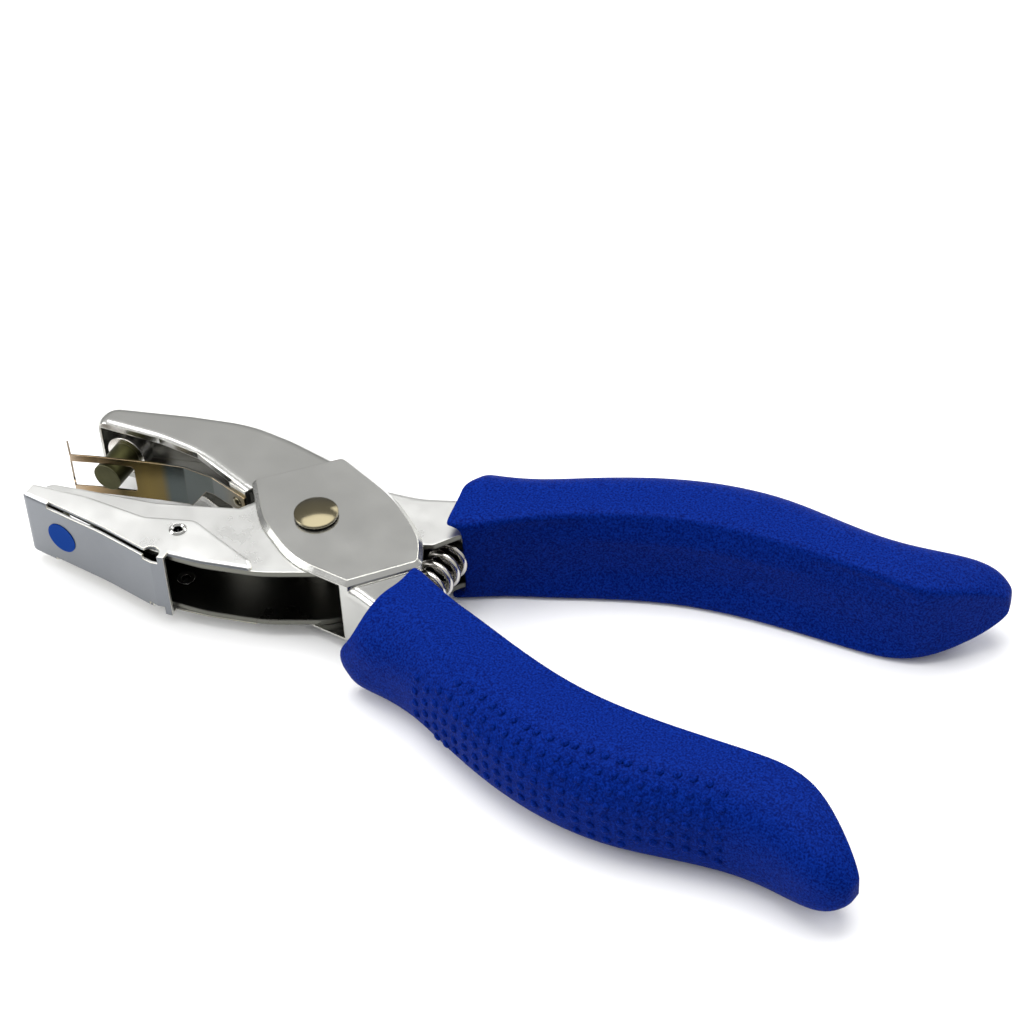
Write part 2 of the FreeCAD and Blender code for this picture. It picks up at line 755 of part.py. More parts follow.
# Punch: hardened pin with a shank that is set in its holder and in the web
def make_punch_pin():
    pin = "Sizes.punch_diameter / 2"
    shank = "Sizes.shank_diameter / 2"
    step = "Sizes.punch_length"
    end = f"{step} + {web_y + lever_sheet / 2 - punch_y - size('punch_length')}"
    profile = [("0", "0"), (pin, "0"), (pin, step), (shank, step), (shank, end), ("0", end)]
    return make_turned("punch_pin", profile, axis_frame(Vector(punch_x, punch_y, 0), Vector(0, 1, 0)))


# Holder: bright collar behind the punch, with a neck that stands on the web
def make_punch_holder():
    bore = "(Sizes.shank_diameter / 2 + Sizes.running_clearance)"
    collar = "Sizes.holder_diameter / 2"
    neck = "Sizes.neck_diameter / 2"
    step = "Sizes.holder_length"
    foot = punch_y + size("punch_length")
    neck_length = web_inside - size("running_clearance") - foot - size("holder_length")
    end = f"{step} + {neck_length}"
    profile = [(bore, "0"), (collar, "0"), (collar, step), (neck, step), (neck, end), (bore, end)]
    return make_turned("punch_holder", profile, axis_frame(Vector(punch_x, foot, 0), Vector(0, 1, 0)))


# Stripper strip: thin spring that holds the paper back, open around the punch
def make_stripper_strip():
    body = new_body("stripper_strip")
    left = offset_line(strip_line, size("strip_thickness") / 2)
    right = offset_line(strip_line, -size("strip_thickness") / 2)
    loop = [(p.x, p.y, 0) for p in right] + [(p.x, p.y, 0) for p in reversed(left)]
    blank = sketch_on(body, "strip_blank")
    draw_loop(blank, loop)
    pad(body, blank, "strip_block", "Sizes.strip_width")
    half = size("strip_width") / 2
    inside = half - size("strip_arm")
    tip = strip_line[0].x + size("strip_bar")
    window = sketch_on(body, "strip_window_loop", "XZ_Plane")
    opening = box_loop(tip, window_end, -inside, inside)
    draw_loop(window, [(x, z, size("strip_arm") / 2) for x, z, _ in opening])
    pocket(body, window, "strip_window", "4 * Sizes.channel_height")
    foot = half - size("strip_tail_width")
    low = -half - overrun
    tail_start = strip_line[4].x
    tail = [(tail_start, low, 0), (strip_line[-1].x + overrun, low, 0), (strip_line[-1].x + overrun, foot, 0)]
    tail.append((tail_start + half, foot, 0))
    tail_sketch = sketch_on(body, "strip_tail_loop", "XZ_Plane")
    draw_loop(tail_sketch, tail)
    pocket(body, tail_sketch, "strip_tail", "4 * Sizes.channel_height")
    cut_web_hole(body, "strip_hole", rivet_on_strip, tab_outward, STRIP_SHANK_HOLE)
    place(body)
    return body


STRIP_SHANK_HOLE = "Sizes.strip_rivet_diameter + 2 * Sizes.running_clearance"


def offset_line(line, distance):
    """An open line of points moved to its left by a distance."""
    result = []
    for index, point in enumerate(line):
        before = (point - line[index - 1]).normalize() if index > 0 else None
        after = (line[index + 1] - point).normalize() if index < len(line) - 1 else before
        before = before or after
        middle = (Vector(-before.y, before.x, 0) + Vector(-after.y, after.x, 0)).normalize()
        reach = distance / middle.dot(Vector(-after.y, after.x, 0))
        result.append(point + middle * reach)
    return result


# Small rivet that fixes the strip's tail to the tab
def make_stripper_rivet():
    shank = "Sizes.strip_rivet_diameter / 2"
    head = "Sizes.strip_rivet_head / 2"
    back = "Sizes.strip_thickness + Sizes.tab_gap + Sizes.tab_thickness"
    top = "Sizes.strip_rivet_height"
    profile = [
        ("0", f"-({top})", "dome"),
        (head, "0"),
        (shank, "0"),
        (shank, back),
        ("0", back),
    ]
    front = rivet_on_strip + tab_outward * (size("strip_thickness") / 2)
    return make_turned("stripper_rivet", profile, axis_frame(front, tab_outward * -1))


# Chip tray: thin cover under the lower jaw, with two wings that hang on the eyelets
def make_chip_tray():
    body = new_body("chip_tray")
    loop = tray_floor + tray_wing
    blank = sketch_on(body, "tray_blank")
    pieces = draw_loop(blank, loop)
    block = pad(body, blank, "tray_block", "Sizes.channel_height + 2 * Sizes.tray_gap + 2 * Sizes.tray_sheet")
    names = rims(block, pieces, 0, 2.5, tray_outside)
    names += rims(block, pieces, len(loop) - 0.5, len(loop), tray_outside)
    fillet(body, block, names, "tray_bends", "Sizes.tray_bend")

    left = tray_floor[1][0]
    round_nose(body, "tray_nose", left, tray_outside, size("tray_nose_round"))
    sheet = size("tray_sheet")
    moves = [-overrun] * len(loop)
    for side in range(len(tray_floor) - 1):
        moves[side] = sheet
    core = new_body("tray_core")
    inside = sketch_on(core, "tray_core_loop")
    draw_loop(inside, moved_outline(loop, moves))
    pad(core, inside, "tray_core_block", "Sizes.channel_height + 2 * Sizes.tray_gap")
    round_nose(core, "tray_core_nose", left + sheet, tray_outside - sheet, size("tray_nose_round") - sheet)
    hollow = body.newObject("PartDesign::Boolean", "tray_hollow")
    hollow.Type = "Cut"
    hollow.Group = [core]
    doc.recompute()
    slit = tray_relief(body, "tray_slit", "Sizes.slit_depth")
    edge = [Vector(x, y, 0) for x, y, _ in tray_floor[1:]]
    start = edge[0] + (edge[1] - edge[0]) * slit_shares[0]
    end = edge[1] + (edge[2] - edge[1]) * slit_shares[1]
    outer = offset_line([start, edge[1], end], -overrun)
    inner = offset_line([start, edge[1], end], size("slit_width"))
    bend = tray_floor[2][2]
    ends = list(zip(outer, (0, bend - overrun, 0))) + list(zip(reversed(inner), (0, bend + size("slit_width"), 0)))
    draw_loop(slit.Profile[0], [(point.x, point.y, radius) for point, radius in ends])
    notch = tray_relief(body, "tray_notch", "Sizes.notch_depth")
    inward = (inner[2] - end).normalize()
    centre = end + inward * size("tray_sheet")
    draw_circle(notch.Profile[0], centre.x, centre.y, "Sizes.notch_diameter")
    doc.recompute()
    mirror_feature(body, [slit, notch], "tray_reliefs")
    holes = sketch_on(body, "tray_eyelet_circle")
    draw_circle(holes, eyelet_place.x, eyelet_place.y, EYELET_HOLE)
    pocket(body, holes, "tray_eyelet_hole", "2 * Sizes.channel_height")
    place(body)
    return body


def round_nose(body, name, left, top, curve):
    """Rounds the two corners of the tray's nose, seen from its front side."""
    margin = size("tray_sheet") * 2 / 3
    sketch = sketch_on(body, name + "_loop", "XZ_Plane")
    for side in (1, -1):
        corners = [
            (left - 3 * margin, top + 3 * margin, 0),
            (left + 2 * curve, top + 3 * margin, 0),
            (left + 2 * curve, top + margin, 0),
            (left - margin, top + margin, curve),
            (left - margin, top - 1.2 * curve, 0),
            (left - 3 * margin, top - 1.2 * curve, 0),
        ]
        draw_loop(sketch, [(x, side * z, radius) for x, z, radius in corners])
    pocket(body, sketch, name, "4 * Sizes.channel_height")


def tray_relief(body, name, depth):
    """A cut down from the top of the tray; its sketch is drawn by the caller."""
    sketch = sketch_on(body, name + "_loop")
    sketch.setExpression("AttachmentOffset.Base.z", "Sizes.channel_height / 2 + Sizes.tray_gap + Sizes.tray_sheet")
    feature = body.newObject("PartDesign::Pocket", name)
    feature.Profile = sketch
    feature.setExpression("Length", depth)
    return feature


# Tubular eyelets, one through each cheek, on which the tray swings
def make_tray_eyelets():
    bore = "Sizes.eyelet_bore / 2"
    shank = "Sizes.eyelet_diameter / 2"
    flange = "Sizes.eyelet_flange / 2"
    seat = "(Sizes.channel_height / 2 - Sizes.lever_sheet)"
    foot = f"{seat} - Sizes.eyelet_flange_thickness"
    wing = "(Sizes.channel_height / 2 + Sizes.tray_gap + Sizes.tray_sheet + Sizes.running_clearance)"
    top = f"{wing} + Sizes.eyelet_flange_thickness"
    profile = [
        (bore, foot),
        (flange, foot),
        (flange, seat),
        (shank, seat),
        (shank, wing),
        (flange, wing),
        (f"({bore} + {flange}) / 2", top),
        (bore, wing),
    ]
    frame = FreeCAD.Placement(pivot_place + eyelet_place, FreeCAD.Rotation())
    return make_turned("tray_eyelets", profile, frame, mirror=True)


# Colour dot on the tray's floor, the size of the hole it stands for
def make_colour_dot():
    dot = doc.addObject("Part::Cylinder", "colour_dot_disc")
    dot.Label = "colour_dot"
    dot.setExpression("Radius", "Sizes.dot_diameter / 2")
    dot.setExpression("Height", "Sizes.dot_thickness")
    start = Vector(tray_floor[1][0], tray_floor[1][1], 0)
    end = Vector(tray_floor[2][0], tray_floor[2][1], 0)
    along = (end - start).normalize()
    outward = Vector(along.y, -along.x, 0)
    dot.Placement = axis_frame(start + (end - start) * dot_share, outward)
    return dot


# Return spring: one wire, wound in quarter turns, with straight ends square to the seats
def make_return_spring():
    wire = size("spring_wire")
    radius = (size("spring_coil_diameter") - wire) / 2
    foot = -size("spring_half_length")
    first = foot + wire + size("spring_lead_rise")
    climb = -2 * first / (SPRING_QUARTER_TURNS - 2)
    points = [Vector(radius, foot + wire, 0)]
    tangents = [Vector(0, 1, 0)]
    for step in range(1, SPRING_QUARTER_TURNS):
        angle = math.pi / 2 * step
        around = Vector(-math.sin(angle), 0, -math.cos(angle)) * radius
        points.append(Vector(radius * math.cos(angle), first + climb * (step - 1), -radius * math.sin(angle)))
        tangents.append((around + Vector(0, climb / (math.pi / 2), 0)).normalize())
    last = math.pi / 2 * SPRING_QUARTER_TURNS
    points.append(Vector(radius * math.cos(last), -foot - wire, -radius * math.sin(last)))
    tangents.append(Vector(0, 1, 0))
    edges = [Part.makeLine(points[0] - tangents[0] * wire, points[0])]
    for index in range(SPRING_QUARTER_TURNS):
        edges += biarc(points[index], tangents[index], points[index + 1], tangents[index + 1])
    edges.append(Part.makeLine(points[-1], points[-1] + tangents[-1] * wire))
    path = Part.Wire(edges)
    round_section = Part.Wire([Part.makeCircle(wire / 2, points[0] - tangents[0] * wire, tangents[0])])
    shell = Part.BRepOffsetAPI.MakePipeShell(path)
    shell.add(round_section)
    shell.build()
    shell.makeSolid()
    solid = Part.Solid(shell.shape())
    if solid.Volume < 0:
        solid.reverse()
    print_self_gap(edges, wire)
    coil = doc.addObject("Part::Feature", "return_spring_coil")
    coil.Label = "return_spring"
    coil.Shape = solid
    coil.Placement = FreeCAD.Placement(pivot_place + Vector(size("spring_place"), 0, 0), FreeCAD.Rotation())
    return coil


def print_self_gap(edges, wire):
    """Prints the least gap between turns, measured on points along the wire's middle line."""
    samples = []
    walked = 0
    for edge in edges:
        count = max(2, math.ceil(edge.Length / wire * 3))
        line = edge.discretize(count)
        if samples and (line[0] - samples[-1][1]).Length > (line[-1] - samples[-1][1]).Length:
            line.reverse()
        for point in line:
            if samples:
                walked += (point - samples[-1][1]).Length
            samples.append((walked, point))
    least = min(
        (b - a).Length for i, (at_a, a) in enumerate(samples) for at_b, b in samples[i:] if at_b - at_a > 4 * wire
    )
    tightest = min(edge.Curve.Radius for edge in edges if hasattr(edge.Curve, "Radius"))
    print("spring: least gap to itself", round(least - wire, 3), "mm, tightest bend radius", round(tightest, 3), "mm")


def biarc(start, start_way, end, end_way):
    """Two arcs that leave one point and reach the next in the given directions."""
    chord = end - start
    both = start_way + end_way
    spread = 2 * (1 - start_way.dot(end_way))
    root = math.sqrt(chord.dot(both) ** 2 + spread * chord.dot(chord))
    reach = (root - chord.dot(both)) / spread
    middle = (start + end + (start_way - end_way) * reach) / 2
    return [arc_from(start, start_way, middle), arc_from(end, end_way * -1, middle)]


def arc_from(start, way, end):
    """The arc that leaves a point in a direction and ends at another point."""
    chord = end - start
    across = way - chord * (way.dot(chord) / chord.dot(chord))
    turn = way.getAngle(chord)
    crown = (start + end) / 2 + across.normalize() * (chord.Length / 2 * math.tan(turn / 2))
    return Part.Arc(start, crown, end).toShape()


# Grip sleeves: stations along X with the inner side above and below, the outer side and the half height
grip_station_shares = [
    (0.112, 0.024, 0.024, 0.1648, 0.0812),
    (0.16, 0.0352, 0.0352, 0.192, 0.0812),
    (0.208, 0.0512, 0.0496, 0.2, 0.0812),
    (0.264, 0.0832, 0.0752, 0.2152, 0.0812),
    (0.328, 0.1136, 0.0976, 0.2464, 0.0812),
    (0.4, 0.1472, 0.1272, 0.2816, 0.0812),
    (0.48, 0.1752, 0.1568, 0.3104, 0.0812),
    (0.56, 0.1936, 0.1808, 0.3256, 0.0812),
    (0.64, 0.2016, 0.1952, 0.3288, 0.0812),
    (0.72, 0.2024, 0.2, 0.3152, 0.0812),
    (0.792, 0.2, 0.2, 0.3056, 0.0812),
    (0.848, 0.1976, 0.1976, 0.3104, 0.0792),
    (0.896, 0.2, 0.2, 0.3216, 0.072),
    (0.936, 0.232, 0.232, 0.3352, 0.0584),
    (0.968, 0.264, 0.264, 0.3376, 0.0416),
    (0.9968, 0.296, 0.296, 0.32, 0.0144),
]
# The sleeve's slanted front edge, from its flare to its lip
grip_front_shares = [
    (0.1152, 0.1888, 0),
    (0.1272, 0.1712, 0.012),
    (0.16, 0.1616, 0.012),
    (0.1992, 0.0448, 0),
    (0.216, 0, 0),
]


def make_grip(label, side):
    """A sleeve over a handle; both handles take the same moulding, turned over on the punch lever."""
    body = new_body(label)
    sections = []
    for number, station in enumerate(grip_station_shares):
        sections.append(grip_section(body, f"{label}_section_{number}", station, side))
    loft = body.newObject("PartDesign::AdditiveLoft", label + "_loft")
    loft.Profile = sections[0]
    loft.Sections = sections[1:]
    doc.recompute()
    flats = sketch_on(body, label + "_flats_loop", "YZ_Plane")
    for top in (grip_half, -grip_half):
        past = top * 1.5
        draw_loop(flats, box_loop(-handle_reach, handle_reach, min(top, past), max(top, past)))
    pocket(body, flats, label + "_flats", "3 * Sizes.handle_reach")
    front = scaled(handle_reach, grip_front_shares)
    back = front[0][0] - 2 * overrun
    cut_loop = [(back, front[0][1], 0)] + [(back, front[-1][1], 0)] + list(reversed(front))
    handle = grip_hollow_loop()
    mouth = grip_mouth_loop()
    if side < 0:
        cut_loop = mirrored(cut_loop)
        handle = mirrored(handle)
        mouth = mirrored(mouth)
    front_sketch = sketch_on(body, label + "_front_loop")
    draw_loop(front_sketch, cut_loop)
    pocket(body, front_sketch, label + "_front", "2 * Sizes.grip_height")
    hollow_sketch = sketch_on(body, label + "_hollow_loop")
    draw_loop(hollow_sketch, handle)
    pocket(body, hollow_sketch, label + "_hollow", "Sizes.channel_height + 2 * Sizes.sleeve_clearance")
    mouth_sketch = sketch_on(body, label + "_mouth_loop")
    draw_loop(mouth_sketch, mouth)
    pocket(body, mouth_sketch, label + "_mouth", "Sizes.channel_height + 2 * Sizes.sleeve_clearance")
    place(body)
    return body


def grip_section(body, name, station, side):
    """One cross section of a grip: lines joined by quarter arcs, rounder on the outer side."""
    x, inner, lower, outer, half = [handle_reach * share for share in station]
    sketch = sketch_on(body, name, "YZ_Plane")
    sketch.AttachmentOffset = FreeCAD.Placement(Vector(0, 0, x), FreeCAD.Rotation())
    least = min(half, (outer - inner) / 2)
    small = min(size("grip_inner_round"), least / 3)
    large = min(size("grip_outer_round"), least * 0.8)
    corners = [(lower, -half, small), (outer, -half, large), (outer, half, large), (inner, half, small)]
    corners = [(side * across, side * height, radius) for across, height, radius in corners]
    draw_loop(sketch, corners)
    return sketch


def grip_hollow_loop():
    """The handle's outline with the sleeve's clearance, run out through the sleeve's front."""
    return moved_outline(far_handle, [-size("sleeve_clearance")] * len(far_handle))


def grip_mouth_loop():
    """The sleeve's open mouth, where the return spring enters the handle."""
    right = size("mouth_place")
    web = web_middle(scaled(handle_reach, handle_outer_shares), right)
    return box_loop(right - grip_half, right, 0, web)


pieces = [
    make_die_lever(),
    make_die_ring(),
    make_tray_eyelets(),
    make_chip_tray(),
    make_colour_dot(),
    make_punch_lever(),
    make_punch_holder(),
    make_punch_pin(),
    make_stripper_strip(),
    make_stripper_rivet(),
    make_pivot_rivet(),
    make_pivot_washers(),
    make_pivot_bush(),
    make_return_spring(),
    make_grip("die_lever_grip", 1),
    make_grip("punch_lever_grip", -1),
]
doc.recompute()

failed = [item.Label for item in doc.Objects if "Invalid" in item.State or "Error" in item.State]
if failed:
    raise RuntimeError(f"objects that failed: {failed}")
for piece in pieces:
    shape = piece.Shape
    if shape.isNull() or not shape.isValid() or not shape.Solids:
        raise RuntimeError(f"{piece.Label} has no valid solid")
    print(piece.Label, len(shape.Solids), "solids", round(shape.Volume, 2))
for piece in pieces:
    piece.Shape.exportStep(f"parts/{piece.Label}.step")
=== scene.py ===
import math

import bmesh
import bpy
from mathutils import Matrix, Vector


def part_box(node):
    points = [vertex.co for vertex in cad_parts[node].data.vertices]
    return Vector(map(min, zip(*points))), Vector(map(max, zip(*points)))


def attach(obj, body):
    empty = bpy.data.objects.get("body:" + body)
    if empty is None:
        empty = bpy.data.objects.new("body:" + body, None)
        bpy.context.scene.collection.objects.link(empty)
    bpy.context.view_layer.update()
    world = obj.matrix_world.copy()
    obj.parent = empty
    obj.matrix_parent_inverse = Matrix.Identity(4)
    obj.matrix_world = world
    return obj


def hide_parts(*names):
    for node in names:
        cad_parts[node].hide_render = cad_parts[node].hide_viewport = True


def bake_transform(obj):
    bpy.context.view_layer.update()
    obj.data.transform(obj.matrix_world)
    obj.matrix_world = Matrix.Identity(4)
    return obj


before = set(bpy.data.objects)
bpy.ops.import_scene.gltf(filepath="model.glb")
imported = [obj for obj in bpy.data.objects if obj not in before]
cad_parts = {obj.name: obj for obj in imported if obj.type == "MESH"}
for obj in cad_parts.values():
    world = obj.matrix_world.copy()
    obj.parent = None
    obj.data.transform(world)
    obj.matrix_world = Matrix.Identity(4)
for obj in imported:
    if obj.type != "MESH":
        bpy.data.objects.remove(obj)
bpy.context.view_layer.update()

# Camera. The pliers are seen from above and in front of the jaws, with the
# handles running off to the right. A long lens stands about six tenths of a
# metre away, so the near grip is only a little larger than the far one.
mm = 0.001
camera_place = Vector((207.36, -354.01, 405.36)) * mm
camera_turn_degrees = (47.531, 2.953, 26.601)
lens_length = 107.54
sensor_width = 36
nearest_seen = 0.01
farthest_seen = 20
camera_turn = [math.radians(turn) for turn in camera_turn_degrees]
bpy.ops.object.camera_add(location=camera_place, rotation=camera_turn)
camera = bpy.context.object
camera.name = "photo_camera"
camera.data.lens = lens_length
camera.data.sensor_width = sensor_width
camera.data.clip_start = nearest_seen
camera.data.clip_end = farthest_seen
bpy.context.scene.camera = camera
bpy.context.scene.view_settings.view_transform = "Standard"

# Table and light. The tool lies on a plain white table in a soft box of
# light: one broad panel overhead, weaker ones to the left and behind, and
# pale walls all round that the plated steel mirrors.
floor_size = 6
table_white = (0.96, 0.96, 0.96, 1)
table_roughness = 0.75
# Name, place, width, depth and power of each panel, which faces the middle of the table
panels = [
    ("overhead_panel", (-0.1, 0.15, 0.9), 0.9, 0.7, 8),
    ("left_panel", (-0.8, -0.35, 0.5), 0.5, 0.5, 4),
    ("back_panel", (0.25, 0.95, 0.55), 0.9, 0.4, 4),
]
# Grey of the walls, from the level of the table to nearly straight up
room_stops = [
    (0, (0.30, 0.30, 0.31)),
    (0.35, (0.62, 0.62, 0.61)),
    (0.9, (0.95, 0.95, 0.95)),
]
room_strength = 0.85
bpy.ops.mesh.primitive_plane_add(size=floor_size, location=(0, 0, 0))
table = bpy.context.object
table.name = "white_table"
table_paint = bpy.data.materials.new("white_table_paint")
table_paint.use_nodes = True
table_shader = table_paint.node_tree.nodes["Principled BSDF"]
table_shader.inputs["Base Color"].default_value = table_white
table_shader.inputs["Roughness"].default_value = table_roughness
table.data.materials.append(table_paint)

for name, place, width, depth, power in panels:
    turn = (-Vector(place)).to_track_quat("-Z", "Y").to_euler()
    bpy.ops.object.light_add(type="AREA", location=place, rotation=turn)
    panel = bpy.context.object
    panel.name = name
    panel.data.shape = "RECTANGLE"
    panel.data.size = width
    panel.data.size_y = depth
    panel.data.energy = power


def set_stops(ramp, stops):
    """Gives a new colour ramp its stops, each a position and a colour."""
    for position, _ in stops[1:-1]:
        ramp.elements.new(position)
    for element, (position, colour) in zip(ramp.elements, stops):
        element.position = position
        element.color = (*colour, 1)


room = bpy.data.worlds.new("pale_room")
bpy.context.scene.world = room
room.use_nodes = True
room_nodes = room.node_tree.nodes
room_links = room.node_tree.links
room_way = room_nodes.new("ShaderNodeTexCoord")
room_split = room_nodes.new("ShaderNodeSeparateXYZ")
room_ramp = room_nodes.new("ShaderNodeValToRGB")
set_stops(room_ramp.color_ramp, room_stops)
room_links.new(room_way.outputs["Generated"], room_split.inputs["Vector"])
room_links.new(room_split.outputs["Z"], room_ramp.inputs["Fac"])
room_links.new(room_ramp.outputs["Color"], room_nodes["Background"].inputs["Color"])
room_nodes["Background"].inputs["Strength"].default_value = room_strength


# Die lever: the lower jaw, the pivot's inner cheeks and the far handle, bent
# from one strip of steel and plated with nickel. The plating has a drawn
# grain, soft clouds and rubbed edges with a painted highlight; painted shade
# darkens its faces that stand on edge and makes the jaw's channel nearly black.
def new_group(name, inputs, outputs):
    """An empty shader node group with named number inputs and named outputs."""
    group = bpy.data.node_groups.new(name, "ShaderNodeTree")
    for label, value in inputs:
        socket = group.interface.new_socket(label, in_out="INPUT", socket_type="NodeSocketFloat")
        socket.default_value = value
    for label, kind in outputs:
        group.interface.new_socket(label, in_out="OUTPUT", socket_type=kind)
    return group, group.nodes.new("NodeGroupInput"), group.nodes.new("NodeGroupOutput")


def add_group(tree, group, values):
    """Places a node group in a material with its own values."""
    node = tree.nodes.new("ShaderNodeGroup")
    node.node_tree = group
    for label, value in values.items():
        node.inputs[label].default_value = value
    return node


def mix_colour(tree, mask, low, high):
    """A colour that goes from low to high as the mask goes from nothing to full."""
    mix = tree.nodes.new("ShaderNodeMix")
    mix.data_type = "RGBA"
    mix.inputs["A"].default_value = (*low, 1)
    mix.inputs["B"].default_value = (*high, 1)
    tree.links.new(mask, mix.inputs["Factor"])
    return mix


def mix_range(tree, mask, low, high, span=(0, 1)):
    """A number that goes from low to high as the mask goes over a span."""
    spread = tree.nodes.new("ShaderNodeMapRange")
    spread.inputs["From Min"].default_value = span[0]
    spread.inputs["From Max"].default_value = span[1]
    spread.inputs["To Min"].default_value = low
    spread.inputs["To Max"].default_value = high
    tree.links.new(mask, spread.inputs["Value"])
    return spread


def make_plate_grain():
    """Fine drawn lines and cloudy polish: a height for bump, and a mask of clouds."""
    inputs = [("Scale", 900.0), ("Stretch", 12.0), ("Clouds", 90.0)]
    outputs = [("Height", "NodeSocketFloat"), ("Cloud", "NodeSocketFloat")]
    group, start, end = new_group("plate_grain", inputs, outputs)
    place = group.nodes.new("ShaderNodeTexCoord")
    squeeze = group.nodes.new("ShaderNodeVectorMath")
    squeeze.operation = "MULTIPLY"
    across = group.nodes.new("ShaderNodeCombineXYZ")
    across.inputs["X"].default_value = 1
    across.inputs["Z"].default_value = 1
    lines = group.nodes.new("ShaderNodeTexNoise")
    lines.inputs["Detail"].default_value = 3
    clouds = group.nodes.new("ShaderNodeTexNoise")
    clouds.inputs["Detail"].default_value = 4
    clouds.inputs["Roughness"].default_value = 0.6
    link = group.links.new
    link(start.outputs["Stretch"], across.inputs["Y"])
    link(place.outputs["Object"], squeeze.inputs[0])
    link(across.outputs["Vector"], squeeze.inputs[1])
    link(squeeze.outputs["Vector"], lines.inputs["Vector"])
    link(start.outputs["Scale"], lines.inputs["Scale"])
    link(place.outputs["Object"], clouds.inputs["Vector"])
    link(start.outputs["Clouds"], clouds.inputs["Scale"])
    link(lines.outputs["Fac"], end.inputs["Height"])
    link(clouds.outputs["Fac"], end.inputs["Cloud"])
    return group


def make_rubbed_edge_and_highlight():
    """A mask that is white along sharp edges, where the finish is rubbed and a highlight is painted, and
    a softened normal.
    """
    inputs = [("Width", 0.0003), ("Strength", 6.0)]
    outputs = [("Mask", "NodeSocketFloat"), ("Normal", "NodeSocketVector")]
    group, start, end = new_group("rubbed_edge_and_highlight", inputs, outputs)
    soft = group.nodes.new("ShaderNodeBevel")
    soft.samples = 6
    flat = group.nodes.new("ShaderNodeNewGeometry")
    alike = group.nodes.new("ShaderNodeVectorMath")
    alike.operation = "DOT_PRODUCT"
    apart = group.nodes.new("ShaderNodeMath")
    apart.operation = "SUBTRACT"
    apart.inputs[0].default_value = 1
    gain = group.nodes.new("ShaderNodeMath")
    gain.operation = "MULTIPLY"
    gain.use_clamp = True
    link = group.links.new
    link(start.outputs["Width"], soft.inputs["Radius"])
    link(soft.outputs["Normal"], alike.inputs[0])
    link(flat.outputs["Normal"], alike.inputs[1])
    link(alike.outputs["Value"], apart.inputs[1])
    link(apart.outputs["Value"], gain.inputs[0])
    link(start.outputs["Strength"], gain.inputs[1])
    link(gain.outputs["Value"], end.inputs["Mask"])
    link(soft.outputs["Normal"], end.inputs["Normal"])
    return group


def make_flat_side():
    """A mask that is white where the sheet lies flat in the tool, and black where it stands on edge."""
    steepness = (0.45, 0.85)
    group, _, end = new_group("flat_side", [], [("Mask", "NodeSocketFloat")])
    way = group.nodes.new("ShaderNodeTexCoord")
    split = group.nodes.new("ShaderNodeSeparateXYZ")
    steep = group.nodes.new("ShaderNodeMath")
    steep.operation = "ABSOLUTE"
    spread = mix_range(group, steep.outputs["Value"], 0, 1, steepness)
    group.links.new(way.outputs["Normal"], split.inputs["Vector"])
    group.links.new(split.outputs["Z"], steep.inputs[0])
    group.links.new(spread.outputs["Result"], end.inputs["Mask"])
    return group


plate_grain = make_plate_grain()
rubbed_edge_and_highlight = make_rubbed_edge_and_highlight()
flat_side = make_flat_side()


def make_metal(
    name, colour, edge_colour, roughness, grain_depth, edge_width, grain_scale=900, grain_stretch=12
):
    """Plated or bare metal: clouded polish, a drawn grain, and rubbed edges of another colour, which is
    also a painted highlight.
    """
    cloud_span = (0.3, 0.7)
    metal = bpy.data.materials.new(name)
    metal.use_nodes = True
    tree = metal.node_tree
    shader = tree.nodes["Principled BSDF"]
    shader.inputs["Metallic"].default_value = 1
    grain = add_group(tree, plate_grain, {"Scale": grain_scale, "Stretch": grain_stretch})
    edge = add_group(tree, rubbed_edge_and_highlight, {"Width": edge_width})
    # Edge colour: rubbed edges, with a painted highlight along them
    tint = mix_colour(tree, edge.outputs["Mask"], colour, edge_colour)
    tree.links.new(tint.outputs["Result"], shader.inputs["Base Color"])
    rough = mix_range(tree, grain.outputs["Cloud"], *roughness, cloud_span)
    tree.links.new(rough.outputs["Result"], shader.inputs["Roughness"])
    bump = tree.nodes.new("ShaderNodeBump")
    bump.inputs["Strength"].default_value = 1
    bump.inputs["Distance"].default_value = grain_depth
    tree.links.new(grain.outputs["Height"], bump.inputs["Height"])
    tree.links.new(edge.outputs["Normal"], bump.inputs["Normal"])
    tree.links.new(bump.outputs["Normal"], shader.inputs["Normal"])
    return metal


def tint_where_black(metal, mask, colour):
    """Gives a metal another colour where a mask is black, and leaves it as it was where it is white."""
    tree = metal.node_tree
    base = tree.nodes["Principled BSDF"].inputs["Base Color"]
    before = base.links[0].from_socket
    mix = mix_colour(tree, mask, colour, colour)
    tree.links.new(before, mix.inputs["B"])
    tree.links.new(mix.outputs["Result"], base)


def paint_shade_on_sides(metal, colour):
    """Paints shade on the faces that stand on edge: gives them another, darker colour than those that lie
    flat.
    """
    side = add_group(metal.node_tree, flat_side, {})
    tint_where_black(metal, side.outputs["Mask"], colour)


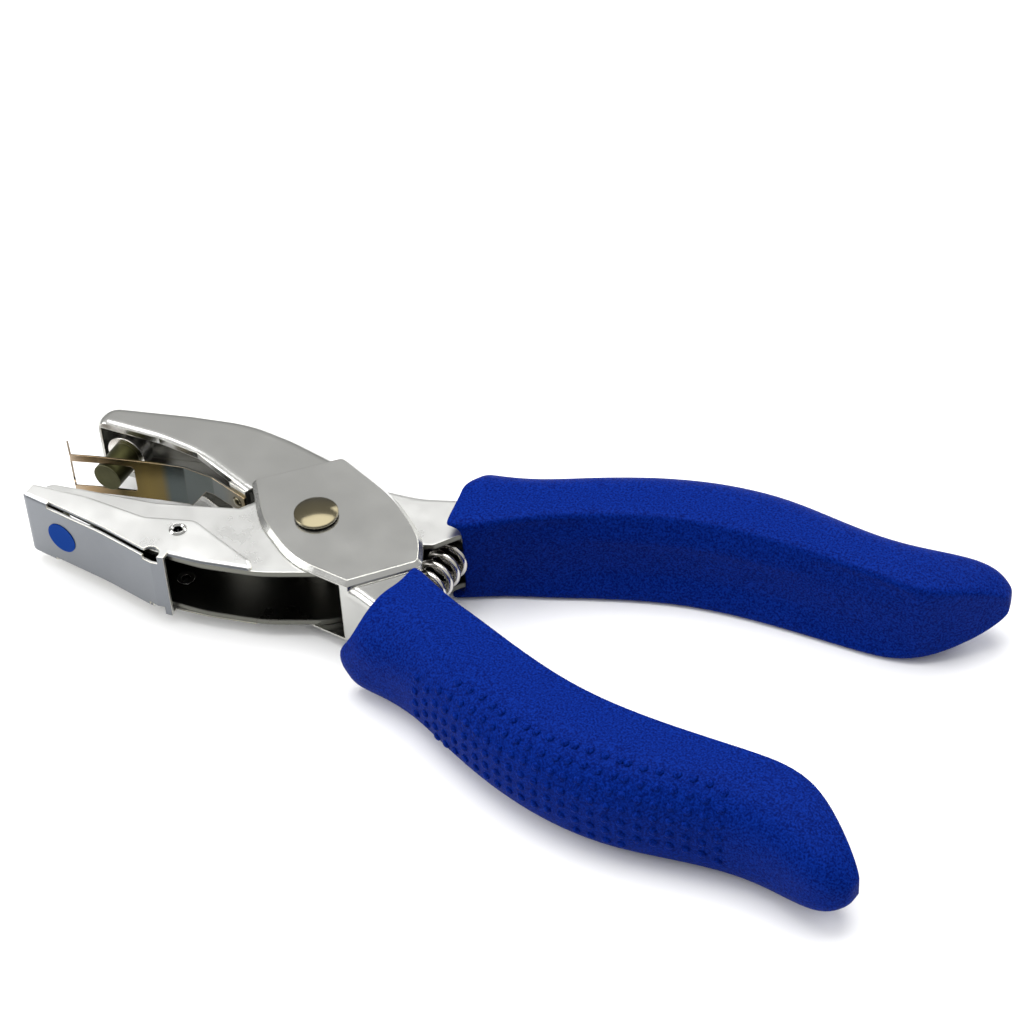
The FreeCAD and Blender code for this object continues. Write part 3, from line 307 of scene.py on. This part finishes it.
def paint_shade_in_channel(metal, colour):
    """Paints shade in the channel: makes its inside nearly black, on the web and on the cheeks' inner
    faces.
    """
    middle_height = 10 * mm
    cheek_span = (5.65 * mm, 5.9 * mm)
    jaw_facing_span = (0.2, 0.5)
    tree = metal.node_tree
    place = tree.nodes.new("ShaderNodeTexCoord")
    point = tree.nodes.new("ShaderNodeSeparateXYZ")
    way = tree.nodes.new("ShaderNodeSeparateXYZ")
    offset = tree.nodes.new("ShaderNodeMath")
    offset.operation = "SUBTRACT"
    offset.inputs[1].default_value = middle_height
    away = tree.nodes.new("ShaderNodeMath")
    away.operation = "ABSOLUTE"
    either = tree.nodes.new("ShaderNodeMath")
    either.operation = "MAXIMUM"
    beyond = mix_range(tree, away.outputs["Value"], 0, 1, cheek_span)
    facing_jaw = mix_range(tree, way.outputs["Y"], 0, 1, jaw_facing_span)
    tree.links.new(place.outputs["Object"], point.inputs["Vector"])
    tree.links.new(point.outputs["Z"], offset.inputs[0])
    tree.links.new(offset.outputs["Value"], away.inputs[0])
    tree.links.new(place.outputs["Normal"], way.inputs["Vector"])
    tree.links.new(beyond.outputs["Result"], either.inputs[0])
    tree.links.new(facing_jaw.outputs["Result"], either.inputs[1])
    tint_where_black(metal, either.outputs["Value"], colour)


def dress(node, material):
    """Gives a construction node its finish."""
    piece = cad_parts[node]
    piece.data.materials.clear()
    piece.data.materials.append(material)


pale_nickel = make_metal(
    "pale_nickel_plating",
    colour=(0.74, 0.74, 0.72),
    edge_colour=(0.80, 0.78, 0.70),
    roughness=(0.24, 0.38),
    grain_depth=0.004 * mm,
    edge_width=0.25 * mm,
)
# Painted shade: the die lever's faces that stand on edge, its web and cut edges, are darkened
paint_shade_on_sides(pale_nickel, (0.15, 0.15, 0.13))
# Painted shade: the inside of the jaw's channel is nearly black
paint_shade_in_channel(pale_nickel, (0.07, 0.07, 0.063))
dress("die_lever", pale_nickel)

# Die ring: a small hardened bush pressed into the lower jaw's face, into
# which the punch passes. Left dark from hardening, and polished by paper.
hardened_steel = make_metal(
    "dark_hardened_steel",
    colour=(0.05, 0.049, 0.02),
    edge_colour=(0.17, 0.165, 0.10),
    roughness=(0.25, 0.55),
    grain_depth=0.05 * mm,
    edge_width=0.3 * mm,
    grain_scale=600,
    grain_stretch=1,
)
dress("die_ring", hardened_steel)

# Punch lever: the upper jaw with its turned-in margins, the two round plates
# of the pivot and the near handle, pressed from one sheet in the same plated
# steel, with the plates stepped out over the die lever's cheeks.
bright_nickel = make_metal(
    "bright_nickel_plating",
    colour=(0.50, 0.50, 0.48),
    edge_colour=(0.70, 0.68, 0.60),
    roughness=(0.16, 0.27),
    grain_depth=0.004 * mm,
    edge_width=0.25 * mm,
)
dress("punch_lever", bright_nickel)

# Punch holder: a bright turned collar that carries the punch, riveted
# through the jaw's web, with fine turning marks.
turned_steel = make_metal(
    "bright_turned_steel",
    colour=(0.70, 0.68, 0.64),
    edge_colour=(0.85, 0.83, 0.78),
    roughness=(0.14, 0.25),
    grain_depth=0.006 * mm,
    edge_width=0.2 * mm,
    grain_scale=1400,
    grain_stretch=1,
)
dress("punch_holder", turned_steel)

# Punch: a round pin of the same hardened steel as the ring, ground flat at
# its cutting end and pressed into the collar.
dress("punch_pin", hardened_steel)

# Stripper strip: a bent leaf of thin spring steel, tinted bronze by
# tempering, riveted to a tab of the upper jaw, with a slot for the punch.
stripper_bronze = make_metal(
    "bronze_strip_with_painted_reflection",
    colour=(0.12, 0.09, 0.035),
    edge_colour=(0.42, 0.32, 0.21),
    roughness=(0.1, 0.22),
    grain_depth=0.006 * mm,
    edge_width=0.2 * mm,
    grain_scale=800,
    grain_stretch=8,
)
# Colours from the strip's lip to its tab: a bronze temper tint, with painted reflections (the pale lip,
# the grey-blue face past the bend) and a dark band of painted shade
strip_tint_and_painted_reflection_stops = [
    (0, (0.50, 0.42, 0.34)),
    (0.14, (0.30, 0.21, 0.12)),
    (0.30, (0.055, 0.043, 0.018)),
    (0.43, (0.13, 0.095, 0.032)),
    (0.50, (0.12, 0.09, 0.034)),
    (0.54, (0.065, 0.076, 0.075)),
    (0.85, (0.085, 0.095, 0.09)),
    (1, (0.11, 0.08, 0.03)),
]


def tint_strip_with_painted_reflection(metal, stops):
    """Runs the strip through its temper tint and its painted reflections and shade, and leaves its rubbed
    edges as they were.
    """
    strip_low, strip_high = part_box("stripper_strip")
    tree = metal.node_tree
    edge_mix = tree.nodes["Principled BSDF"].inputs["Base Color"].links[0].from_node
    place = tree.nodes.new("ShaderNodeTexCoord")
    split = tree.nodes.new("ShaderNodeSeparateXYZ")
    along = mix_range(tree, split.outputs["X"], 0, 1, (strip_low[0], strip_high[0]))
    ramp = tree.nodes.new("ShaderNodeValToRGB")
    set_stops(ramp.color_ramp, stops)
    tree.links.new(place.outputs["Object"], split.inputs["Vector"])
    tree.links.new(along.outputs["Result"], ramp.inputs["Fac"])
    tree.links.new(ramp.outputs["Color"], edge_mix.inputs["A"])


tint_strip_with_painted_reflection(stripper_bronze, strip_tint_and_painted_reflection_stops)
dress("stripper_strip", stripper_bronze)

# Rivets: the low domed rivet of the main pivot, and the small one that holds
# the strip to its tab. Both have a warmer champagne tint than the levers.
rivet_nickel = make_metal(
    "champagne_rivet_plating",
    colour=(0.15, 0.131, 0.083),
    edge_colour=(0.28, 0.255, 0.18),
    roughness=(0.12, 0.22),
    grain_depth=0.006 * mm,
    edge_width=0.4 * mm,
    grain_scale=700,
    grain_stretch=1,
)
dress("pivot_rivet", rivet_nickel)
dress("stripper_rivet", rivet_nickel)

# Pivot washers: two thin hardened rings under the main rivet's heads, on
# which the round plates turn.
dress("pivot_washers", hardened_steel)

# Pivot bush: a turned steel spacer on the main rivet, which holds the die
# lever's cheeks apart.
dress("pivot_bush", turned_steel)

# Tray eyelets: two bright tubular rivets through the lower jaw's cheeks, on
# which the chip tray swings. Their bores and outer sides, which stand on edge, are painted nearly black
# as painted shade.
eyelet_nickel = make_metal(
    "bright_eyelet_plating",
    colour=(0.60, 0.60, 0.58),
    edge_colour=(0.75, 0.74, 0.70),
    roughness=(0.1, 0.2),
    grain_depth=0.004 * mm,
    edge_width=0.2 * mm,
    grain_scale=700,
    grain_stretch=1,
)
# Painted shade: the eyelets' faces that stand on edge are nearly black
paint_shade_on_sides(eyelet_nickel, (0.02, 0.02, 0.02))
dress("tray_eyelets", eyelet_nickel)

# Chip tray: a thin folded sheet that swings under the lower jaw and holds
# the punched chips. Its cut edges show brass-coloured through the plating,
# and the outside of its floor is painted darker than its flanges, as painted shade.
tray_nickel = make_metal(
    "pale_tray_plating",
    colour=(0.85, 0.85, 0.83),
    edge_colour=(0.70, 0.64, 0.46),
    roughness=(0.26, 0.40),
    grain_depth=0.0015 * mm,
    edge_width=0.25 * mm,
)


def paint_shade_on_tray_floor(metal, colour):
    """Paints shade on the outside of the tray's floor, which looks away from the jaws: gives it another,
    darker colour.
    """
    floor_span = (-0.75, -0.45)
    tree = metal.node_tree
    place = tree.nodes.new("ShaderNodeTexCoord")
    way = tree.nodes.new("ShaderNodeSeparateXYZ")
    inward = mix_range(tree, way.outputs["Y"], 0, 1, floor_span)
    tree.links.new(place.outputs["Normal"], way.inputs["Vector"])
    tint_where_black(metal, inward.outputs["Result"], colour)


# Painted shade: a dark grey on the outside of the tray's floor
paint_shade_on_tray_floor(tray_nickel, (0.19, 0.20, 0.215))
dress("chip_tray", tray_nickel)

# Colour dot: a round satin sticker on the tray's outside that shows the
# size and kind of the hole.
dot_vinyl = bpy.data.materials.new("blue_dot_vinyl")
dot_vinyl.use_nodes = True
dot_shader = dot_vinyl.node_tree.nodes["Principled BSDF"]
dot_shader.inputs["Base Color"].default_value = (0.0, 0.034, 0.22, 1)
dot_shader.inputs["Specular IOR Level"].default_value = 0.03
dot_shader.inputs["Roughness"].default_value = 0.5
dress("colour_dot", dot_vinyl)

# Return spring: one length of bright wire wound into an open coil of nine
# and a half turns, which sits on a stub in each handle and pushes the
# handles apart.
spring_low, spring_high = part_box("return_spring")
spring_wire = 1.4 * mm
spring_turns = 9.5
spring_steps = 152
spring_middle = (Vector(spring_low) + Vector(spring_high)) / 2
spring_radius = (spring_high[0] - spring_low[0] - spring_wire) / 2
spring_reach = (spring_high[1] - spring_low[1] - spring_wire) / 2
bpy.ops.object.select_all(action="DESELECT")
spring_curve = bpy.data.curves.new("return_spring_wire", "CURVE")
spring_curve.dimensions = "3D"
spring_curve.bevel_depth = spring_wire / 2
spring_curve.bevel_resolution = 4
spring_curve.use_fill_caps = True
coil = spring_curve.splines.new("NURBS")
coil.points.add(spring_steps)
for index, point in enumerate(coil.points):
    share = index / spring_steps
    angle = 2 * math.pi * spring_turns * share
    point.co = (
        spring_middle.x + spring_radius * math.cos(angle),
        spring_middle.y + spring_reach * (2 * share - 1),
        spring_middle.z + spring_radius * math.sin(angle),
        1,
    )
coil.order_u = 4
coil.use_endpoint_u = True
return_spring = bpy.data.objects.new("coil_return_spring", spring_curve)
bpy.context.collection.objects.link(return_spring)
bpy.context.view_layer.objects.active = return_spring
return_spring.select_set(True)
bpy.ops.object.convert(target="MESH")
return_spring = bpy.context.object
bpy.ops.object.shade_smooth()
spring_steel = make_metal(
    "bright_spring_wire",
    colour=(0.62, 0.60, 0.56),
    edge_colour=(0.75, 0.73, 0.68),
    roughness=(0.12, 0.2),
    grain_depth=0.004 * mm,
    edge_width=0.2 * mm,
    grain_stretch=1,
)
return_spring.data.materials.append(spring_steel)
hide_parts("return_spring")
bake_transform(return_spring)

# Grips. Each handle wears a sleeve of soft blue vinyl, pushed on over the
# steel: an open mouth at the pivot, a flat inner wall with a thin bead, a
# round back with a field of small nubs, and a rounded tip.
rivet_low, rivet_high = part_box("pivot_rivet")
grip_low, grip_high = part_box("die_lever_grip")
pivot_x = (rivet_low[0] + rivet_high[0]) / 2
grip_middle = (grip_low[2] + grip_high[2]) / 2
grip_half = (grip_high[2] - grip_low[2]) / 2
blank_width = 15 * mm
nub_side_round = 6.8 * mm
plain_side_round = 5.0 * mm
inner_round = 1.2 * mm
inner_slope = 0.985
section_points = 18
# How far out a point of the blank lies to count as on its edge, as a share
edge_share = 0.998
# Sections of the far grip from its mouth to its tip, in mm from the pivot: where the inner
# wall stands along and across the handle, where the back stands, and the share of the height
grip_stations = [
    (24.9, 5.6, 15.9, 22.0, 1),
    (26.0, 6.2, 17.2, 22.9, 1),
    (29.6, 8.0, 21.5, 24.9, 1),
    (33.0, 10.2, 26.5, 25.6, 1),
    (36.5, 12.1, 31.5, 26.8, 1),
    (41.0, 14.2, 36.5, 28.8, 1),
    (47.0, 16.9, 43.0, 32.2, 1),
    (55.0, 20.0, 52.0, 36.3, 1),
    (63.0, 22.5, 61.0, 39.3, 1),
    (71.0, 23.9, 70.0, 41.1, 1),
    (80.0, 24.6, 80.0, 41.5, 1),
    (90.0, 24.6, 90.0, 39.6, 1),
    (99.0, 24.4, 100.0, 38.1, 1),
    (106.0, 24.2, 107.0, 38.6, 0.99),
    (112.0, 25.0, 112.5, 40.2, 0.9),
    (117.0, 28.7, 117.3, 41.6, 0.74),
    (121.5, 33.0, 121.1, 41.7, 0.54),
    (124.5, 36.2, 123.8, 40.4, 0.26),
]
# The tip's cap is this share of the last section, and stands out by this share of its width
tip_share = 0.6
tip_reach = 0.1


def select_points(test, section=None):
    """Selects points in edit mode whose place passes a test, in all the piece or in one section of it."""
    bpy.ops.mesh.select_mode(type="VERT")
    bpy.ops.mesh.select_all(action="DESELECT")
    mesh = bmesh.from_edit_mesh(bpy.context.object.data)
    points = list(mesh.verts)
    if section is not None:
        points = points[section * section_points:(section + 1) * section_points]
    for point in points:
        if test(point.co):
            point.select_set(True)
    mesh.select_flush_mode()
    bmesh.update_edit_mesh(bpy.context.object.data)


def select_faces(test):
    """Selects faces in edit mode whose centre and normal pass a test."""
    bpy.ops.mesh.select_mode(type="FACE")
    bpy.ops.mesh.select_all(action="DESELECT")
    mesh = bmesh.from_edit_mesh(bpy.context.object.data)
    mesh.normal_update()
    for face in mesh.faces:
        if test(face.calc_center_median(), face.normal):
            face.select_set(True)
    mesh.select_flush_mode()
    bmesh.update_edit_mesh(bpy.context.object.data)


def turn_section(angle, centre):
    """Turns the selected section about the vertical; with no window the operator turns the other way."""
    bpy.ops.transform.rotate(value=-angle, orient_axis="Z", center_override=centre)


def place_at(along, across, height=grip_middle):
    """A place that is given in mm along and across the far handle, from the pivot."""
    return Vector((pivot_x + along * mm, across * mm, height))


def station_frame(station):
    """Middle, turn, width and share of the height of one section."""
    inner = place_at(station[0], station[1])
    outer = place_at(station[2], station[3])
    across = outer - inner
    return (inner + outer) / 2, math.atan2(-across.x, across.y), across.length, station[4]


def start_section():
    """A square blank across the handle, round at the back and nearly sharp at the inner wall."""
    bpy.ops.object.select_all(action="DESELECT")
    first = (pivot_x, 0, grip_middle)
    upright = (0, -math.pi / 2, 0)
    bpy.ops.mesh.primitive_plane_add(size=2 * grip_half, location=first, rotation=upright)
    bpy.ops.object.transform_apply(location=True, rotation=True, scale=True)
    bpy.ops.object.mode_set(mode="EDIT")
    bpy.ops.transform.resize(value=(1, blank_width / (2 * grip_half), 1), center_override=first)
    corners = (
        (1, 1, plain_side_round),
        (1, -1, nub_side_round),
        (-1, 1, inner_round),
        (-1, -1, inner_round),
    )
    for outward, upward, radius in corners:

        def at_corner(place):
            rise = (place.z - grip_middle) * upward
            return place.y * outward > blank_width / 4 and rise > grip_half / 2

        select_points(at_corner)
        bpy.ops.mesh.bevel(offset=radius, offset_type="OFFSET", segments=2, affect="VERTICES")
    far_out = edge_share * blank_width / 2
    far_up = edge_share * grip_half
    cuts = (
        (3, lambda place: place.y < -far_out),
        (1, lambda place: place.y > far_out),
        (1, lambda place: place.z > grip_middle + far_up),
        (1, lambda place: place.z < grip_middle - far_up),
    )
    for count, on_edge in cuts:
        select_points(on_edge)
        bpy.ops.mesh.subdivide(number_cuts=count)
    select_points(lambda place: place.y < inner_round - blank_width / 2)
    bpy.ops.transform.resize(value=(1, 1, inner_slope), center_override=first)
    bpy.ops.mesh.select_all(action="SELECT")
    return Vector(first)


def loft_sections():
    """Extrudes the blank from the mouth to the tip, turned and sized at each section."""
    centre = start_section()
    turn, width, share = 0, blank_width, 1
    for index, station in enumerate(grip_stations):
        if index:
            bpy.ops.mesh.extrude_region_move()
        turn_section(-turn, centre)
        next_centre, next_turn, next_width, next_share = station_frame(station)
        size = (1, next_width / width, next_share / share)
        bpy.ops.transform.resize(value=size, center_override=centre)
        turn_section(next_turn, centre)
        bpy.ops.transform.translate(value=next_centre - centre)
        centre, turn, width, share = next_centre, next_turn, next_width, next_share
    bpy.ops.mesh.extrude_region_move()
    bpy.ops.transform.resize(value=(tip_share, tip_share, tip_share), center_override=centre)
    bpy.ops.transform.translate(value=(width * tip_reach, 0, 0))
    bpy.ops.mesh.select_all(action="SELECT")
    bpy.ops.mesh.normals_make_consistent(inside=False)


# Bands of the mouth's rim: how far each lies from the inner wall in mm, between which shares
# of half the height, and how far it moves along and across the handle in mm
mouth_bands = [
    ((2, 11), (0.95, 1.01), (2.0, 0.6)),
    ((11, 18), (0.55, 1.01), (3.8, 0.9)),
    ((11, 20), (0.2, 0.55), (3.0, 0.6)),
]
# How much of that the first section and the second move
mouth_amounts = [1, 0.8]


def round_mouth():
    """Draws the mouth's flat sides and back corners in, so that its back bulges forward in the middle."""
    for number, amount in enumerate(mouth_amounts):
        centre, turn, width, _ = station_frame(grip_stations[number])
        across = Vector((-math.sin(turn), math.cos(turn), 0))
        inner = centre - across * width / 2
        for (near, far), (foot, top), (along, outward) in mouth_bands:

            def in_band(place):
                reach = (place - inner).dot(across) / mm
                rise = abs(place.z - grip_middle) / grip_half
                return near < reach < far and foot < rise < top

            select_points(in_band, section=number)
            bpy.ops.transform.translate(value=(along * amount * mm, outward * amount * mm, 0))


# How far the inner wall's lower edge stands nearer the middle than its upper edge, in mm by section
wall_leans = {
    3: 0.8, 4: 1.6, 5: 2.6, 6: 3.2, 7: 3.4, 8: 3.4, 9: 3.2, 10: 3.0, 11: 2.6, 12: 2.2, 13: 1.6,
}


def lean_inner_wall():
    """Moves the inner wall's lower edge in, and its upper edge out, at each section where it leans."""
    for index, lean in wall_leans.items():
        inner = place_at(*grip_stations[index][:2], height=0)
        for side in (1, -1):

            def on_edge(place):
                flat = Vector((place.x, place.y, 0))
                rise = (place.z - grip_middle) * side
                return (flat - inner).length < 2 * inner_round and rise > grip_half / 2

            select_points(on_edge)
            bpy.ops.transform.translate(value=(0, side * lean * mm / 2, 0))


# How far the inner wall moves back at the first two sections, in mm, and over which share
# of half the height
spring_notches = [(1.7, 0.9, 0), (0.7, 0.4, 0)]
notch_share = 0.91
mouth_wall = 1.7 * mm
rim_round = 0.5 * mm
# Where the mouth's hollow ends, in mm from the pivot, and how much smaller it is there
mouth_floor = (29.0, 17.0)
mouth_taper = (0.82, 0.82, 0.95)


def open_mouth():
    """Cuts the inner wall back clear of the spring, then hollows the mouth behind it."""
    faces_mouth = 0.7
    for number, shift in enumerate(spring_notches):
        inner = place_at(*grip_stations[number][:2])
        select_points(lambda place: (place - inner).length < grip_half * notch_share)
        bpy.ops.transform.translate(value=Vector(shift) * mm)
    centre, turn, width, _ = station_frame(grip_stations[0])
    forward = Vector((-math.cos(turn), -math.sin(turn), 0))

    def in_mouth(place, normal):
        return normal.dot(forward) > faces_mouth and (place - centre).length < width / 2

    select_faces(in_mouth)
    bpy.ops.mesh.inset(thickness=rim_round)
    bpy.ops.mesh.inset(thickness=mouth_wall - rim_round)
    bpy.ops.mesh.extrude_region_move()
    bpy.ops.transform.resize(value=mouth_taper, center_override=centre)
    bpy.ops.transform.translate(value=place_at(*mouth_floor) - centre)


bead_width = 0.9 * mm
bead_depth = 0.4 * mm
bead_first_section = 3
bead_last_section = 14


def bead_inner_wall():
    """Sinks the inner wall a little inside its edges, which leaves a thin bead along them."""
    faces_inward = -0.6
    nearly_upright = 0.3
    start = pivot_x + grip_stations[bead_first_section][0] * mm
    stop = pivot_x + grip_stations[bead_last_section][0] * mm

    def on_wall(place, normal):
        return start < place.x < stop and normal.y < faces_inward and abs(normal.z) < nearly_upright

    select_faces(on_wall)
    bpy.ops.mesh.inset(thickness=bead_width, depth=-bead_depth)


def smooth_piece(piece, levels):
    """Merges doubles, turns the faces outwards and applies a subdivision surface."""
    bpy.ops.mesh.select_all(action="SELECT")
    bpy.ops.mesh.remove_doubles(threshold=0.01 * mm)
    bpy.ops.mesh.normals_make_consistent(inside=False)
    bpy.ops.object.mode_set(mode="OBJECT")
    modifier = piece.modifiers.new("soft_form", "SUBSURF")
    modifier.levels = levels
    modifier.render_levels = levels
    bpy.ops.object.modifier_apply(modifier=modifier.name)
    bpy.ops.object.shade_smooth()


def make_grip():
    """The sleeve of the far handle, from mouth to tip."""
    loft_sections()
    round_mouth()
    lean_inner_wall()
    open_mouth()
    bead_inner_wall()
    grip = bpy.context.object
    grip.name = "grip_moulding"
    smooth_piece(grip, levels=2)
    return grip


# Nubs on the grip's back, in columns across the handle, 2.9 mm apart
nub_pitch = 2.9 * mm
nub_radius = 0.85 * mm
nub_height = 0.55 * mm
nub_start = 35.5 * mm
nub_stop = 101 * mm
nub_reach = 7 * mm
# Where the field of nubs begins on the flat side, in mm along the handle and away from the middle
nub_borders = [
    (34, 26.5), (38, 29.0), (42, 29.8), (44, 28.4), (50, 30.0), (55, 32.1),
    (62, 33.9), (68, 34.6), (85, 34.6), (90, 33.6), (98, 33.2), (103, 38.0),
]


def border_at(along):
    """How far from the middle the field of nubs begins at a place along the handle."""
    for (low_x, low_y), (high_x, high_y) in zip(nub_borders, nub_borders[1:]):
        if along <= high_x * mm:
            share = (along / mm - low_x) / (high_x - low_x)
            return (low_y + share * (high_y - low_y)) * mm
    return nub_borders[-1][1] * mm


def back_direction(along):
    """Place of the grip's back at a place along the handle, and the way across the handle there."""
    for low, high in zip(grip_stations, grip_stations[1:]):
        if along <= high[2] * mm:
            share = (along / mm - low[2]) / (high[2] - low[2])
            slope = (high[3] - low[3]) / (high[2] - low[2])
            back = (low[3] + share * (high[3] - low[3])) * mm
            return back, Vector((-slope, 1, 0)).normalized()
    return grip_stations[-1][3] * mm, Vector((0, 1, 0))


def nub_places(grip):
    """Places and normals of the nubs, found column by column by looking at the surface from inside."""
    first_tilt, last_tilt = -40, 130
    places = []
    along = nub_start
    while along < nub_stop:
        back, across = back_direction(along)
        core = Vector((pivot_x + along, back, grip_middle)) - across * nub_side_round
        previous, travelled = None, 0
        for degrees in range(first_tilt, last_tilt):
            tilt = math.radians(degrees)
            ray = Vector((0, 0, -1)) * math.cos(tilt) + across * math.sin(tilt)
            found, place, normal, _ = grip.ray_cast(core, ray)
            if not found or place.y < border_at(place.x - pivot_x):
                continue
            if place.z > grip_middle + nub_reach:
                break
            if previous is None:
                places.append((place, normal))
            else:
                travelled += (place - previous).length
                if travelled >= nub_pitch:
                    places.append((place, normal))
                    travelled -= nub_pitch
            previous = place
        along += nub_pitch * across.y
    return places


def add_nubs(grip):
    """Sets one nub at each place and joins them all to the grip."""
    places = nub_places(grip)
    bpy.ops.object.select_all(action="DESELECT")
    bpy.ops.mesh.primitive_uv_sphere_add(segments=10, ring_count=6, radius=nub_radius)
    nub = bpy.context.object
    bpy.ops.transform.resize(value=(1, 1, nub_height / nub_radius))
    bpy.ops.object.transform_apply(location=True, rotation=True, scale=True)
    bpy.ops.object.shade_smooth()
    for place, normal in places:
        upright = normal.to_track_quat("Z", "Y").to_matrix().to_4x4()
        copy = nub.copy()
        copy.data = nub.data.copy()
        copy.matrix_world = Matrix.Translation(place) @ upright
        bpy.context.collection.objects.link(copy)
        copy.select_set(True)
    nub.select_set(False)
    bpy.data.objects.remove(nub)
    grip.select_set(True)
    bpy.context.view_layer.objects.active = grip
    bpy.ops.object.join()


far_grip = make_grip()
add_nubs(far_grip)
far_grip.name = "far_grip_moulding"

# The near handle wears the same moulding, turned over, so its nubs face up and the far grip's down
bpy.ops.object.select_all(action="DESELECT")
far_grip.select_set(True)
bpy.context.view_layer.objects.active = far_grip
bpy.ops.object.duplicate()
near_grip = bpy.context.object
near_grip.name = "near_grip_moulding"
bpy.ops.transform.rotate(value=math.pi, orient_axis="X", center_override=(0, 0, grip_middle))
bpy.ops.object.transform_apply(location=True, rotation=True, scale=True)


def pull_mouth(grip, along, across, height, shift):
    """Pulls the soft rim of a mouth at one place, and less and less of the vinyl around it."""
    held_radius = 2.5 * mm
    pulled_radius = 7 * mm
    place = place_at(along, across, height * mm)
    bpy.ops.object.select_all(action="DESELECT")
    grip.select_set(True)
    bpy.context.view_layer.objects.active = grip
    bpy.ops.object.mode_set(mode="EDIT")
    select_points(lambda point: (point - place).length < held_radius)
    bpy.ops.transform.translate(
        value=Vector(shift) * mm,
        use_proportional_edit=True,
        proportional_edit_falloff="SMOOTH",
        proportional_size=pulled_radius,
    )
    bpy.ops.object.mode_set(mode="OBJECT")


# Both mouths spring open a little differently on their handles
pull_mouth(far_grip, 19, 21.5, 14, (3.2, 0.3, 0))
pull_mouth(near_grip, 18.5, -21.5, 3, (-1.5, -0.2, 0))


def make_vinyl():
    """Matt blue vinyl with a fine moulded grain, which shows in its height and its tone."""
    tone_span = (0.36, 0.64)
    vinyl = bpy.data.materials.new("royal_blue_vinyl")
    vinyl.use_nodes = True
    tree = vinyl.node_tree
    shader = tree.nodes["Principled BSDF"]
    shader.inputs["Specular IOR Level"].default_value = 0.02
    grain = add_group(tree, plate_grain, {"Scale": 2600, "Stretch": 1, "Clouds": 160})
    tone = mix_range(tree, grain.outputs["Height"], 0, 1, tone_span)
    tint = mix_colour(tree, tone.outputs["Result"], (0.0, 0.006, 0.095), (0.002, 0.021, 0.22))
    tree.links.new(tint.outputs["Result"], shader.inputs["Base Color"])
    rough = mix_range(tree, grain.outputs["Cloud"], 0.42, 0.6)
    tree.links.new(rough.outputs["Result"], shader.inputs["Roughness"])
    bump = tree.nodes.new("ShaderNodeBump")
    bump.inputs["Strength"].default_value = 1
    bump.inputs["Distance"].default_value = 0.07 * mm
    tree.links.new(grain.outputs["Height"], bump.inputs["Height"])
    tree.links.new(bump.outputs["Normal"], shader.inputs["Normal"])
    return vinyl


blue_vinyl = make_vinyl()
sleeves = (
    (far_grip, "die_lever_grip", "die_side"),
    (near_grip, "punch_lever_grip", "punch_side"),
)
for grip, node, body in sleeves:
    grip.data.materials.clear()
    grip.data.materials.append(blue_vinyl)
    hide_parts(node)
    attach(grip, body)
